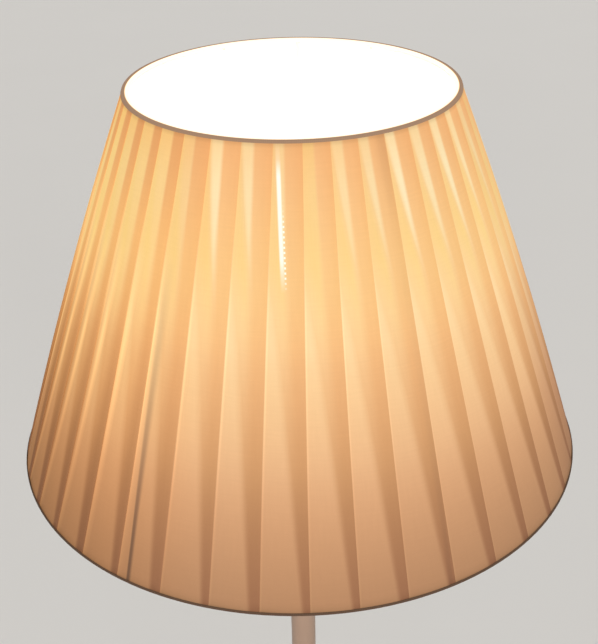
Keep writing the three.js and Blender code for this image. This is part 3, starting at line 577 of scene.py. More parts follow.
def moulded(name, tone, roughness, spark=700.0):
    """Moulded plastic or rubber: a fine etched skin with soft scuffs."""
    made = Finish(name)
    skin = made.noise(made.place(), spark, 2.0)
    scuffs = made.noise(made.place(), (60.0, 60.0, 300.0), 4.0)
    scuffed = tuple(min(1.0, channel * 1.5 + 0.01) for channel in tone)
    made.set(Base_Color=made.mix(made.spread(scuffs, 0.45, 0.75), tone, scuffed),
             Roughness=made.spread(scuffs, 0.3, 0.7, roughness - 0.07, roughness + 0.1))
    made.bump(skin, 0.00005, 0.35)
    return made.material


def glazed(name, tone):
    """Glazed porcelain: slightly uneven white under a clear coat."""
    made = Finish(name)
    cloud = made.noise(made.place(), 90.0)
    made.set(Base_Color=made.vary(cloud, tone, 0.93, 1.0),
             Roughness=made.spread(cloud, 0.3, 0.7, 0.2, 0.34), Coat_Weight=0.5, Coat_Roughness=0.1)
    made.bump(cloud, 0.0002, 0.15)
    return made.material


def pressed_felt(name, tone):
    """Felt: tangled fibres."""
    made = Finish(name)
    fibres = made.times(made.noise(made.place(), (1500.0, 420.0, 900.0), 5.0, 0.7),
                        made.noise(made.place(), (420.0, 1500.0, 900.0), 5.0, 0.7))
    made.set(Base_Color=made.vary(made.spread(fibres, 0.12, 0.4), tone, 0.55, 1.5), Roughness=0.96,
             Specular_IOR_Level=0.1, Sheen_Weight=0.3, Sheen_Roughness=0.6)
    made.bump(fibres, 0.0004, 0.8)
    return made.material


def opal_glass(glow):
    """Opal bulb: lit from within, a little fainter at the neck."""
    made = Finish("opal_glass_lit")
    low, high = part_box("bulb_globe")
    up = made.spread(made.height(), low.z, high.z)
    cloud = made.noise(made.place(), 60.0, 2.0)
    lit = made.ramp(up, (0.0, 0.30, 0.55, 1.0),
                    [shaded(glow.bulb, share) for share in (0.35, 0.6, 1.0, 1.0)])
    lit = made.tint(1.0, lit, made.spread(cloud, 0.3, 0.7, 0.95, 1.0))
    made.set(Base_Color=(0.86, 0.82, 0.74), Roughness=made.spread(cloud, 0.3, 0.7, 0.18, 0.28),
             Coat_Weight=0.3, Coat_Roughness=0.08, Emission_Color=lit,
             Emission_Strength=glow.bulb_strength)
    return made.material


def plain_floor(tone):
    """Pale floor, faintly uneven."""
    made = Finish("pale_floor")
    made.set(Base_Color=made.vary(made.noise(made.place(), 1.6), tone, 0.985, 1.01), Roughness=0.85,
             Specular_IOR_Level=0.15)
    return made.material


ALONG_AXIS = (90.0, 90.0, 2600.0)


def once(make, name, *values):
    """A finish that several pieces share."""
    return bpy.data.materials.get(name) or make(name, *values)


def white_paint():
    return once(satin_paint, "white_frame_paint", (0.80, 0.78, 0.73), 0.45)


def stand_paint():
    return once(satin_paint, "stand_paint", tuple(bpy.context.scene.lamp_stand.paint), 0.42)


def dark_plastic():
    return once(moulded, "dark_plastic_moulded", (0.024, 0.020, 0.018), 0.45)


def steel():
    return once(bare_metal, "zinc_plated_steel", (0.55, 0.55, 0.54), 0.38, ALONG_AXIS)


def brass():
    return once(bare_metal, "worn_brass", (0.60, 0.42, 0.16), 0.34, ALONG_AXIS)


# Shaping

def within(share):
    return max(0.0, min(1.0, share))


def window(value, start, rise, end, fall):
    """1 between a start and an end, and 0 outside them."""
    return within(min((value - start) / rise, (end - value) / fall))


def arch(up):
    """0 at both ends and 1 half-way."""
    return 4.0 * up * (1.0 - up)


def trough(turns):
    """0 on each whole turn and 1 half-way between."""
    return 0.5 - 0.5 * math.cos(FULL_TURN * turns)


def around(angle, radius, z):
    return Vector((radius * math.sin(angle), -radius * math.cos(angle), z))


def mid_height(node):
    low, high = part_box(node)
    return (low.z + high.z) / 2.0


def keep(name, bm, material, body, slot, stands_for, smooth_to=35.0):
    """Makes a finished mesh into a piece of the lamp that rides on one of its bodies."""
    mesh = bpy.data.meshes.new(name)
    for face in bm.faces:
        face.smooth = True
    bm.to_mesh(mesh)
    bm.free()
    mesh.set_sharp_from_angle(angle=math.radians(smooth_to))
    piece = bpy.data.objects.new(name, mesh)
    bpy.context.scene.collection.objects.link(piece)
    for one in material if isinstance(material, list) else [material]:
        mesh.materials.append(one)
    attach(piece, body)
    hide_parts(*stands_for)
    return piece


def thickened(piece, thickness, inside=0):
    cloth = piece.modifiers.new("cloth", "SOLIDIFY")
    cloth.thickness, cloth.offset, cloth.material_offset = thickness, 0.0, inside


def outward(bm):
    bmesh.ops.remove_doubles(bm, verts=bm.verts, dist=1e-6)
    bmesh.ops.recalc_face_normals(bm, faces=bm.faces)
    return bm


def turned(outline, steps=ROUND_STEPS):
    """Spins an outline of (radius, height) points about the lamp's axis. An outline that starts and
    ends on the axis stays open there, and any other is closed."""
    bm = bmesh.new()
    points = [bm.verts.new((0.0, -radius, z)) for radius, z in outline]
    pairs = list(zip(points, points[1:]))
    if outline[0][0] > 0.0 or outline[-1][0] > 0.0:
        pairs.append((points[-1], points[0]))
    lines = [bm.edges.new(pair) for pair in pairs]
    bmesh.ops.spin(bm, geom=points + lines, cent=(0.0, 0.0, 0.0), axis=(0.0, 0.0, 1.0),
                   angle=FULL_TURN, steps=steps, use_merge=True)
    return outward(bm)


def eased(bm, width, segments=2, over=30.0):
    """Rounds the edges that are sharper than an angle."""
    sharp = [edge for edge in bm.edges
             if edge.is_manifold and edge.calc_face_angle() > math.radians(over)]
    bmesh.ops.bevel(bm, geom=sharp, offset=width, offset_type="OFFSET", affect="EDGES",
                    segments=segments, profile=0.5, material=-1, clamp_overlap=True)
    return bm


def tube(bore, radius, bottom, top):
    return [(bore, bottom), (radius, bottom), (radius, top), (bore, top)]


def drawn_in(bm, beyond, depth):
    """Draws what lies beyond a radius in, by a depth that follows from the angle and the height."""
    for vert in bm.verts:
        radius = math.hypot(vert.co.x, vert.co.y)
        if radius > beyond:
            shrink = 1.0 - depth(math.atan2(vert.co.x, -vert.co.y), vert.co.z) / radius
            vert.co.x, vert.co.y = vert.co.x * shrink, vert.co.y * shrink
    return bm


def laid(bm, swing, place):
    """Swings an upright piece down to lie from front to back, and moves it to its place."""
    bmesh.ops.rotate(bm, verts=bm.verts, cent=(0.0, 0.0, 0.0),
                     matrix=Matrix.Rotation(swing, 3, "X"))
    bmesh.ops.translate(bm, verts=bm.verts, vec=place)
    return bm


def rod(bm, start, end, radius, sides=14):
    """A round bar from point to point."""
    line = end - start
    place = (Matrix.Translation((start + end) / 2.0)
             @ line.to_track_quat("Z", "Y").to_matrix().to_4x4())
    bmesh.ops.create_cone(bm, cap_ends=True, cap_tris=False, segments=sides, radius1=radius,
                          radius2=radius, depth=line.length, matrix=place)


def bored(bm, start, end, radius):
    """Drills a round hole through a mesh, from point to point."""
    bit = bmesh.new()
    rod(bit, start, end, radius, sides=32)
    solids = []
    for name, shape in (("blank", bm), ("drill", bit)):
        mesh = bpy.data.meshes.new(name)
        shape.to_mesh(mesh)
        shape.free()
        solids.append(bpy.data.objects.new(name, mesh))
        bpy.context.scene.collection.objects.link(solids[-1])
    blank, drill = solids
    cut = blank.modifiers.new("hole", "BOOLEAN")
    cut.operation, cut.solver, cut.object = "DIFFERENCE", "EXACT", drill
    done = bmesh.new()
    done.from_object(blank, bpy.context.evaluated_depsgraph_get())
    for mesh in [solid.data for solid in solids]:
        bpy.data.meshes.remove(mesh)
    return done


def cone_radius(sizes, z):
    """Radius over the folds at a height."""
    up = (z - sizes.bottom_edge) / (sizes.top_edge - sizes.bottom_edge)
    return sizes.bottom_radius + (sizes.top_radius - sizes.bottom_radius) * up


def cover_radius(sizes, z):
    """Radius over the folds with the cloth's belly, which is nothing at the two edges."""
    up = (z - COVER_LOW.z) / (COVER_HIGH.z - COVER_LOW.z)
    return cone_radius(sizes, z) + sizes.belly * arch(up)


def ring_heights(sizes):
    edge = sizes.ring_inset + sizes.ring_wire
    return sizes.bottom_edge + edge, sizes.top_edge - edge


# One pleat along the strip: its stretches, and the stations along each
PLEAT_STRETCHES = {
    "hidden": (0.0, 0.5),
    "panel": (0.0, 0.06, 0.14, 0.25, 0.37, 0.5, 0.63, 0.76, 0.88),
    "band": (0.0, 0.33, 0.67),
    "outer": (0.0, 0.25, 0.5, 0.75, 1.0),
    "return": (0.33, 0.67),
    "inner": (0.0, 0.25, 0.5, 0.75),
}
PLEAT_STATIONS = [(stretch, share) for stretch, shares in PLEAT_STRETCHES.items()
                  for share in shares]
PANEL_SWELL = 1.6             # above 1, a face rises to the outmost layer early
LEAN_BEND, SPLAY_BEND = 2.2, 5
STRAY_WAVES, STRAY_START = 6.0, 2.83
# What the cloth's material reads from each place on the strip
MARKS = ("to_turn", "past_streak", "to_wedge", "streak_gain", "from_fold", "from_rib", "from_seam",
         "seam", "stitching", "pleat_tone", "left_painted_shade", "right_painted_shade", "fold_edge", "from_ridge")
# How strongly the bright streak shows, pleat by pleat, over and over round the shade
STREAKS = (0.10, 0.65, 0.72, 0.95, 0.80, 0.90, 0.75, 0.60)
# where the painted shade of the left and the right flank starts, and how fast it grows
LEFT_SHADE_EDGE, LEFT_SHADE_FADE = 0.45, 0.3        # as cosines of the angle from the side's middle
RIGHT_SHADE_EDGE, RIGHT_SHADE_FADE = 0.88, 0.10
WEDGE_SOFT_BOTTOM, WEDGE_SOFT_TOP = 0.0022, 0.0050
# where the painted highlight line crosses each face of the left flank
RIDGE_REACH, RIDGE_BEND, RIDGE_EDGE, RIDGE_FADE = 0.70, 0.85, 1.0, 0.75
SEAM_INSET, SEAM_DRIFT = 0.0037, 0.0055         # from the turn line
SLIT, STITCHES = (0.03, 0.02, 0.29, 0.06), (0.13, 0.02, 0.30, 0.02)


def pleat_place(stretch, share, spacing, overlap, bend):
    """Distance from the pleat's left-hand fold along the shade, and the layer (0 inmost, 2
    outmost)."""
    if stretch == "hidden":
        return overlap * (share - 1.0), 0.0
    if stretch == "panel":
        return (spacing - overlap) * share, 2.0 * (1.0 - (1.0 - share) ** PANEL_SWELL)
    if stretch == "band":
        return spacing - overlap * (1.0 - share), 2.0
    if stretch == "return":
        return spacing - overlap * share, 1.0
    out, back = bend * math.sin(math.pi * share), 0.5 * math.cos(math.pi * share)
    if stretch == "outer":
        return spacing + out, 1.5 + back
    return spacing - overlap - out, 0.5 + back


def fold_shift(sizes, angle, up):
    """How far the hand-set folds stray from even spacing."""
    near = (angle - sizes.lean_at) / sizes.lean_spread
    leaning = up ** LEAN_BEND * sizes.lean * math.exp(-near * near)
    straying = (1.0 - up) * sizes.stray * math.sin(STRAY_WAVES * angle + STRAY_START)
    to_sides = sizes.splay * math.sin(angle) ** SPLAY_BEND
    return leaning + straying + to_sides - arch(up) * sizes.bow * math.sin(angle)


def light_marks(sizes, glow, pleat, spacing, along, up, angle):
    """How a place on the cloth lies to the streak, wedge, ridge and seam of its pleat."""
    down = 1.0 - up
    # painted shade on the left flank, and the wider glow at its top
    left_painted_shade = max(0.0, (math.cos(angle - glow.left_painted_shade_at) - LEFT_SHADE_EDGE) / LEFT_SHADE_FADE)
    left_shade_share = within((left_painted_shade - LEFT_SHADE_SPAN[0]) / (LEFT_SHADE_SPAN[1] - LEFT_SHADE_SPAN[0]))
    turn_top = glow.turn_top + glow.turn_stray * math.sin(1.9 * pleat) + glow.turn_left_flank * left_shade_share
    turn_bottom = glow.turn_bottom + glow.turn_stray * math.sin(2.9 * pleat + 1.0)
    turn_line = spacing * (turn_top + (turn_bottom - turn_top) * down)
    below = (down - glow.wedge_start) / (1.0 - glow.wedge_start)
    wedge = turn_bottom * below ** glow.wedge_bend if below > 0.0 else below
    # painted highlight line across the faces of the left flank
    ridge = RIDGE_REACH * up ** RIDGE_BEND * within((left_painted_shade - RIDGE_EDGE) / RIDGE_FADE)
    on_seam = pleat % sizes.pleats == sizes.pleats - 1
    return {
        "to_turn": turn_line - along,
        "past_streak": along - spacing * glow.streak_slope * down,
        "to_wedge": (spacing * wedge - along) / (WEDGE_SOFT_BOTTOM + WEDGE_SOFT_TOP * up),
        "streak_gain": STREAKS[pleat % len(STREAKS)],
        "from_fold": along,
        "from_ridge": along - spacing * ridge,
        "from_seam": turn_line - along - SEAM_INSET + SEAM_DRIFT * down,
        "seam": on_seam * window(down, *SLIT),
        "stitching": on_seam * window(down, *STITCHES),
        "pleat_tone": 1.0 + 0.012 * math.sin(2.4 * pleat) + 0.010 * math.sin(5.3 * pleat + 1.0),
        "left_painted_shade": left_painted_shade,
        # painted shade on the right flank
        "right_painted_shade": within((math.cos(angle - glow.right_painted_shade_at) - RIGHT_SHADE_EDGE) / RIGHT_SHADE_FADE),
    }


def folded_cover(sizes, glow):
    """A flat strip of cloth, folded all the same way round the shade."""
    per_pleat = len(PLEAT_STATIONS)
    columns = sizes.pleats * per_pleat
    bm = bmesh.new()
    bmesh.ops.create_grid(bm, x_segments=columns, y_segments=sizes.rows, size=0.5)
    layer = {name: bm.verts.layers.float.new(name) for name in MARKS}
    strip = bm.loops.layers.uv.new("strip")
    column = {vert: round((vert.co.x + 0.5) * columns) for vert in bm.verts}
    row = {vert: vert.co.y + 0.5 for vert in bm.verts}

    pleat_angle = FULL_TURN / sizes.pleats
    pleat_width = pleat_angle * sizes.top_radius + 2.0 * sizes.top_overlap
    slant = math.hypot(COVER_HIGH.z - COVER_LOW.z,
                       cone_radius(sizes, COVER_LOW.z) - cone_radius(sizes, COVER_HIGH.z))
    half_ribs = sizes.ribs / 2.0
    for vert in bm.verts:
        pleat, station = divmod(column[vert], per_pleat)
        stretch, share = PLEAT_STATIONS[station]
        up = row[vert]
        z = COVER_LOW.z + (COVER_HIGH.z - COVER_LOW.z) * up
        radius = cover_radius(sizes, z)
        spacing = pleat_angle * radius
        step = sizes.cloth + sizes.fold_gap + sizes.fold_opening * arch(up)
        overlap = (pleat_width - spacing) / 2.0
        along, depth = pleat_place(stretch, share, spacing, overlap, step / 2.0)
        angle = sizes.first_fold + pleat * pleat_angle + along / radius
        marks = light_marks(sizes, glow, pleat, spacing, along, up, angle)
        angle += fold_shift(sizes, (angle + math.pi) % FULL_TURN - math.pi, up)
        marks["from_rib"] = radius / half_ribs * math.sin(half_ribs * (angle - sizes.first_rib))
        marks["fold_edge"] = stretch == "outer" and 0.0 < share < 1.0
        for name, mark in marks.items():
            vert[layer[name]] = mark
        vert.co = around(angle, radius - sizes.cloth / 2.0 - (2.0 - depth) * step, z)
    for face in bm.faces:
        for loop in face.loops:
            pleats = column[loop.vert] / per_pleat
            loop[strip].uv = (pleats * pleat_width, row[loop.vert] * slant)
    ends = [vert for vert in bm.verts if column[vert] in (0, columns)]
    bmesh.ops.remove_doubles(bm, verts=ends, dist=1e-5)
    bm.normal_update()
    level_out = Vector((1.0, 1.0, 0.0))
    front = [face for face in bm.faces
             if face.normal.dot(face.calc_center_median() * level_out) > 0.0]
    if len(front) * 2 < len(bm.faces):
        bmesh.ops.reverse_faces(bm, faces=bm.faces)
    turned_in = math.pi * (sizes.cloth + sizes.fold_gap + sizes.fold_opening * 2.0 / 3.0)
    return bm, ((pleat_width + turned_in) * sizes.pleats, slant)


# The steps

class LAMP_OT_set_stage(Operator):
    """Camera, pale floor and soft studio light"""
    bl_idname = "floor_lamp.set_stage"
    bl_label = "Set Stage"

    sensor, floor_reach, sky_tone = 36.0, 9.0, (1.0, 0.985, 0.96)
    key_from, back_from = (0.05, -0.93, 0.36), (0.30, 0.70, 0.65)

    def camera(self, stage):
        camera = bpy.data.cameras.new("camera")
        camera.lens, camera.sensor_width = stage.lens, self.sensor
        viewer = bpy.data.objects.new("camera", camera)
        level_ahead = math.cos(stage.pitch)
        ahead = Vector((math.sin(stage.yaw) * level_ahead, math.cos(stage.yaw) * level_ahead,
                        -math.sin(stage.pitch)))
        right = Vector((math.cos(stage.yaw), -math.sin(stage.yaw), 0.0))
        above = right.cross(ahead)
        tilt = Matrix.Rotation(-stage.roll, 3, ahead)
        place = Matrix((tilt @ right, tilt @ above, -ahead)).transposed().to_4x4()
        viewer.matrix_world = Matrix.Translation(stage.eye) @ place
        return viewer

    def floor(self, stage):
        bm = bmesh.new()
        bmesh.ops.create_grid(bm, x_segments=1, y_segments=1, size=self.floor_reach)
        mesh = bpy.data.meshes.new("floor")
        bm.to_mesh(mesh)
        bm.free()
        mesh.materials.append(plain_floor(tuple(stage.floor)))
        return bpy.data.objects.new("floor", mesh)

    def world(self, stage):
        """Even light from all round, behind a backdrop that only eyes and reflections see."""
        world = bpy.data.worlds.new("studio")
        made = Nodes(world)
        light = made.fill(made.nodes["Background"], self.sky_tone, stage.sky)
        seen = made.node("ShaderNodeBackground", stage.floor, stage.backdrop)
        path = made.node("ShaderNodeLightPath").outputs
        shown = path["Is Camera Ray"]
        for ray in ("Is Glossy Ray", "Is Transmission Ray"):
            shown = made.sum("MAXIMUM", shown, path[ray])
        choose = made.node("ShaderNodeMixShader", shown, light.outputs[0], seen.outputs[0])
        made.fill(made.nodes["World Output"], choose.outputs[0])
        return world

    def execute(self, context):
        scene, stage = context.scene, context.scene.lamp_stage
        scene.camera = self.camera(stage)
        scene.collection.objects.link(scene.camera)
        scene.view_settings.view_transform = "Standard"
        floor = self.floor(stage)
        scene.collection.objects.link(floor)
        scene.world = self.world(stage)
        for name, origin, strength in (("key_light", self.key_from, stage.key),
                                       ("back_light", self.back_from, stage.back)):
            lamp = bpy.data.lights.new(name, "SUN")
            lamp.energy, lamp.angle = strength, stage.softness
            softbox = bpy.data.objects.new(name, lamp)
            softbox.rotation_euler = Vector(origin).to_track_quat("Z", "Y").to_euler()
            scene.collection.objects.link(softbox)
        return {"FINISHED"}


class LAMP_OT_bend_frame(Operator):
    """Wire rings, ribs, arms and the fitter ring inside the shade"""
    bl_idname = "floor_lamp.bend_frame"
    bl_label = "Bend Frame"

    wire_sides, arms = 12, 3
    fitter_radius, fitter_edge, arm_inset = 0.031, 0.0004, 0.0026

    def execute(self, context):
        sizes = context.scene.lamp_shade
        finish = (white_paint(), "shade", "white_paint")
        low, high = ring_heights(sizes)
        for name, z, node in (("frame_top_ring", high, "top_ring"),
                              ("frame_bottom_ring", low, "bottom_ring")):
            centre = cone_radius(sizes, z) - sizes.wire_inset
            swings = [FULL_TURN * side / self.wire_sides for side in range(self.wire_sides)]
            circle = [(centre + sizes.ring_wire * math.cos(swing),
                       z + sizes.ring_wire * math.sin(swing)) for swing in swings]
            keep(name, turned(circle, RING_STEPS), *finish, [node])
        bm = bmesh.new()
        for rib in range(sizes.ribs):
            angle = sizes.first_rib + FULL_TURN * rib / sizes.ribs
            foot, head = (around(angle, cone_radius(sizes, z) - sizes.wire_inset, z)
                          for z in (low, high))
            gap = (head - foot).normalized() * sizes.ring_wire
            rod(bm, foot + gap, head - gap, sizes.wire)
        keep("frame_ribs", bm, *finish, [f"rib_{rib + 1}" for rib in range(sizes.ribs)])
        fitter_low, fitter_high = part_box("fitter_ring")
        bm = bmesh.new()
        for arm in range(self.arms):
            angle = sizes.first_rib + math.pi / sizes.ribs + FULL_TURN * arm / self.arms
            head = around(angle, cone_radius(sizes, high) - sizes.wire_inset, high)
            foot = around(angle, fitter_high.x - self.arm_inset,
                          fitter_high.z + PLAY + sizes.ring_wire)
            rod(bm, foot, head + (foot - head).normalized() * sizes.ring_wire, sizes.ring_wire)
        keep("fitter_arms", bm, *finish, [f"fitter_arm_{arm + 1}" for arm in range(self.arms)])
        plate = tube(HOLDER_RADIUS + PLAY, self.fitter_radius, fitter_low.z, fitter_high.z)
        keep("fitter_plate", eased(turned(plate), self.fitter_edge), *finish, ["fitter_ring"])
        return {"FINISHED"}


class LAMP_OT_bind_edges(Operator):
    """Tape folded over the two edges of the shade"""
    bl_idname = "floor_lamp.bind_edges"
    bl_label = "Bind Edges"

    rounding = 0.0001

    def execute(self, context):
        sizes = context.scene.lamp_shade
        tape = edge_tape(context.scene.lamp_glow)
        low, high = ring_heights(sizes)
        inside, outside = sizes.tape_stand_off, sizes.tape_stand_off + sizes.tape
        for name, edge, ring, inward, height, node in (
                ("top_tape", sizes.top_edge, high, -1.0, sizes.top_tape, "top_binding"),
                ("bottom_tape", sizes.bottom_edge, low, 1.0, sizes.bottom_tape, "bottom_binding")):
            web, foot, turn_in = (edge + inward * drop
                                  for drop in (sizes.tape, height, sizes.tape_turn_in))
            inner = cone_radius(sizes, ring) - sizes.wire_inset - sizes.ring_wire - outside
            outline = [(inner, edge), (cone_radius(sizes, edge) + outside, edge),
                       (cone_radius(sizes, foot) + outside, foot),
                       (cone_radius(sizes, foot) + inside, foot),
                       (cone_radius(sizes, web) + inside, web), (inner + sizes.tape, web),
                       (inner + sizes.tape, turn_in), (inner, turn_in)]
            bm = eased(turned(outline, SHADE_STEPS), self.rounding)
            inwards, rounds, tops = (bm.verts.layers.float.new(mark)
                                     for mark in ("inward", "round", "top_edge"))
            for vert in bm.verts:
                radius = math.hypot(vert.co.x, vert.co.y)
                vert[inwards] = cone_radius(sizes, vert.co.z) + outside - radius
                vert[rounds] = abs(math.atan2(vert.co.x, -vert.co.y)) * radius
                vert[tops] = inward < 0.0
            keep(name, bm, tape, "shade", "binding_tape", [node])
        return {"FINISHED"}


class LAMP_OT_fold_cover(Operator):
    """Knife-pleated cover, folded from one straight strip of cloth"""
    bl_idname = "floor_lamp.fold_cover"
    bl_label = "Fold Cover"

    def execute(self, context):
        sizes, glow = context.scene.lamp_shade, context.scene.lamp_glow
        bm, flat = folded_cover(sizes, glow)
        cover = keep("pleated_cloth", bm, [pleat_cloth(glow), inside_cloth(glow)], "shade",
                     "pleat_cloth", ["pleated_cover"], smooth_to=60.0)
        thickened(cover, sizes.cloth, 1)
        return {"FINISHED"}


class LAMP_OT_stretch_lining(Operator):
    """White lining, stretched inside the wires"""
    bl_idname = "floor_lamp.stretch_lining"
    bl_label = "Stretch Lining"

    rows = 20

    def execute(self, context):
        sizes = context.scene.lamp_shade
        bottom, top = (cone_radius(sizes, z) - sizes.lining_inset
                       for z in (LINING_LOW.z, LINING_HIGH.z))
        slant = math.hypot(bottom - top, LINING_HIGH.z - LINING_LOW.z)
        bm = bmesh.new()
        bmesh.ops.create_grid(bm, x_segments=SHADE_STEPS, y_segments=self.rows, size=0.5)
        strip = bm.loops.layers.uv.new("strip")
        for face in bm.faces:
            for loop in face.loops:
                share, up = loop.vert.co.x + 0.5, loop.vert.co.y + 0.5
                loop[strip].uv = (share * math.pi * (bottom + top), up * slant)
        for vert in bm.verts:
            angle, up = FULL_TURN * (vert.co.x + 0.5), vert.co.y + 0.5
            ribs = sizes.ribs * (angle - sizes.first_rib) / FULL_TURN
            pull = sizes.lining_pull * arch(up) * trough(ribs)
            vert.co = around(angle, bottom + (top - bottom) * up - sizes.lining / 2.0 - pull,
                             LINING_LOW.z + (LINING_HIGH.z - LINING_LOW.z) * up)
        lining = keep("shade_lining", outward(bm), lining_cloth(context.scene.lamp_glow), "shade",
                      "lining_cloth", ["lining"])
        thickened(lining, sizes.lining)
        return {"FINISHED"}


class LAMP_OT_turn_stem(Operator):
    """Stem tubes, the joints between them, and the pieces at their ends"""
    bl_idname = "floor_lamp.turn_stem"
    bl_label = "Turn Stem"

    lead_hole, nipple_hole = 0.0045, 0.0053
    collar_half, cap_rise, cap_seat, cap_edge = 0.002, 0.0033, 0.0075, 0.0008
    lip, rim, waist = 0.0017, 0.0035, 0.007

    def execute(self, context):
        stand = context.scene.lamp_stand
        finish = (stand_paint(), "stand", "cream_paint")
        outside = stand.stem_radius
        bore = outside - stand.stem_wall
        spigot = bore - PLAY
        for section in (1, 2, 3):
            low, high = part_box(f"stem_tube_{section}")
            bm = eased(turned(tube(bore, outside, low.z, high.z)), stand.edge)
            keep(f"stem_section_{section}", bm, *finish, [f"stem_tube_{section}"])
        for joint in (1, 2):
            low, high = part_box(f"stem_coupler_{joint}")
            middle = mid_height(f"stem_coupler_{joint}")
            bottom, top = middle - self.collar_half, middle + self.collar_half
            outline = [(self.lead_hole, low.z), (spigot, low.z), (spigot, bottom),
                       (outside, bottom), (outside, top), (spigot, top), (spigot, high.z),
                       (self.lead_hole, high.z)]
            keep(f"stem_joint_{joint}", eased(turned(outline), stand.edge), *finish,
                 [f"stem_coupler_{joint}"])
        low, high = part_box("stem_cap")
        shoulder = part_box("stem_tube_3")[1].z + PLAY
        outline = [(self.nipple_hole, low.z), (spigot, low.z), (spigot, shoulder),
                   (outside, shoulder), (outside, shoulder + self.cap_rise),
                   (self.cap_seat, high.z), (self.nipple_hole, high.z)]
        keep("stem_top", eased(turned(outline), self.cap_edge), *finish, ["stem_cap"])
        low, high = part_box("stem_collar")
        grip = outside + PLAY
        outline = [(grip, low.z), (high.x, low.z), (high.x, low.z + self.rim),
                   (grip + 2.0 * self.lip, low.z + self.waist), (grip + self.lip, high.z),
                   (grip, high.z)]
        keep("stem_foot_collar", eased(turned(outline), stand.edge), *finish, ["stem_collar"])
        return {"FINISHED"}


class LAMP_OT_turn_base(Operator):
    """Flared base and the felt under it"""
    bl_idname = "floor_lamp.turn_base"
    bl_label = "Turn Base"

    nipple_hole, gland_hole, drill_from, drill_to = 0.0068, 0.0045, 0.10, 0.16
    fillet_steps, flare_steps, round_steps, shell_edge = 5, 24, 144, 0.0004
    felt_bore, felt_edge = 0.060, 0.0008

    def flare(self, stand, inset):
        """Points from the outside of the rim, over its rounding and up to the seat of the stem."""
        centre, bend = stand.base_radius - stand.base_fillet, stand.base_fillet - inset
        points = []
        for index in range(self.fillet_steps + 1):
            swing = QUARTER_TURN * index / self.fillet_steps
            points.append((centre + bend * math.cos(swing),
                           stand.base_rim - stand.base_fillet + bend * math.sin(swing)))
        for index in range(1, self.flare_steps + 1):
            share = index / self.flare_steps
            rise = (stand.base_centre - stand.base_rim) * share ** stand.base_flare
            points.append((centre + share * (stand.base_seat - centre),
                           stand.base_rim - inset + rise))
        return points

    def execute(self, context):
        stand = context.scene.lamp_stand
        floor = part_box("base_cover")[0].z
        outline = [(stand.base_radius - stand.base_wall, floor), (stand.base_radius, floor),
                   *self.flare(stand, 0.0), (self.nipple_hole, stand.base_centre),
                   (self.nipple_hole, stand.base_centre - stand.base_wall),
                   *reversed(self.flare(stand, stand.base_wall))]
        height = mid_height("lead_gland")
        shell = bored(turned(outline, self.round_steps), Vector((0.0, self.drill_from, height)),
                      Vector((0.0, self.drill_to, height)), self.gland_hole)
        keep("base_shell", eased(shell, self.shell_edge, over=40.0), stand_paint(), "stand",
             "cream_paint", ["base_cover"])
        low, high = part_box("felt_ring")
        pad = turned(tube(self.felt_bore, high.x, low.z, high.z), RING_STEPS)
        felt = once(pressed_felt, "base_felt_fibres", (0.030, 0.026, 0.023))
        keep("base_felt", eased(pad, self.felt_edge, 3), felt, "stand", "felt", ["felt_ring"])
        return {"FINISHED"}


class LAMP_OT_fit_lampholder(Operator):
    """Lampholder body, cap and the two ribbed rings that grip the shade"""
    bl_idname = "floor_lamp.fit_lampholder"
    bl_label = "Fit Lampholder"

    spindle_hole, drill_from, drill_to = 0.0028, -0.012, -0.03
    body_edge, cap_edge = 0.0005, 0.0004
    cap_outside = ((0.0053, 0.0), (0.0127, 0.0), (0.0165, 0.0022), (0.019, 0.0063))
    cap_inside = ((0.0175, 0.0071), (0.0155, 0.0036), (0.0119, 0.0015), (0.0053, 0.0015))
    ring_radius, ring_edge, grips, grip_depth = 0.025, 0.001, 36, 0.0005

    def execute(self, context):
        finish = (dark_plastic(), "stand", "dark_plastic")
        low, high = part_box("holder_shell")
        height = mid_height("switch_spindle")
        shell = eased(turned(tube(HOLDER_BORE, HOLDER_RADIUS, low.z, high.z)), self.body_edge)
        shell = bored(shell, Vector((0.0, self.drill_from, height)),
                      Vector((0.0, self.drill_to, height)), self.spindle_hole)
        keep("holder_body", shell, *finish, ["holder_shell"])
        low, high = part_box("holder_cap")
        outside, inside = ([(radius, low.z + rise) for radius, rise in profile]
                           for profile in (self.cap_outside, self.cap_inside))
        outline = [*outside, (outside[-1][0], high.z), (inside[0][0], high.z), *inside]
        keep("holder_base", eased(turned(outline), self.cap_edge), *finish, ["holder_cap"])
        bore, radius, edge = HOLDER_RADIUS + PLAY, self.ring_radius, self.ring_edge
        for node, name in (("lower_shade_ring", "lower_grip_ring"),
                           ("upper_shade_ring", "upper_grip_ring")):
            low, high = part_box(node)
            outline = [(bore, low.z), (radius - edge, low.z), (radius, low.z + edge),
                       (radius, high.z - edge), (radius - edge, high.z), (bore, high.z)]
            ring = drawn_in(turned(outline, self.grips * 4), radius - 1e-5, lambda angle, z:
                            self.grip_depth * trough(self.grips * angle / FULL_TURN))
            keep(name, ring, *finish, [node], smooth_to=50.0)
        return {"FINISHED"}


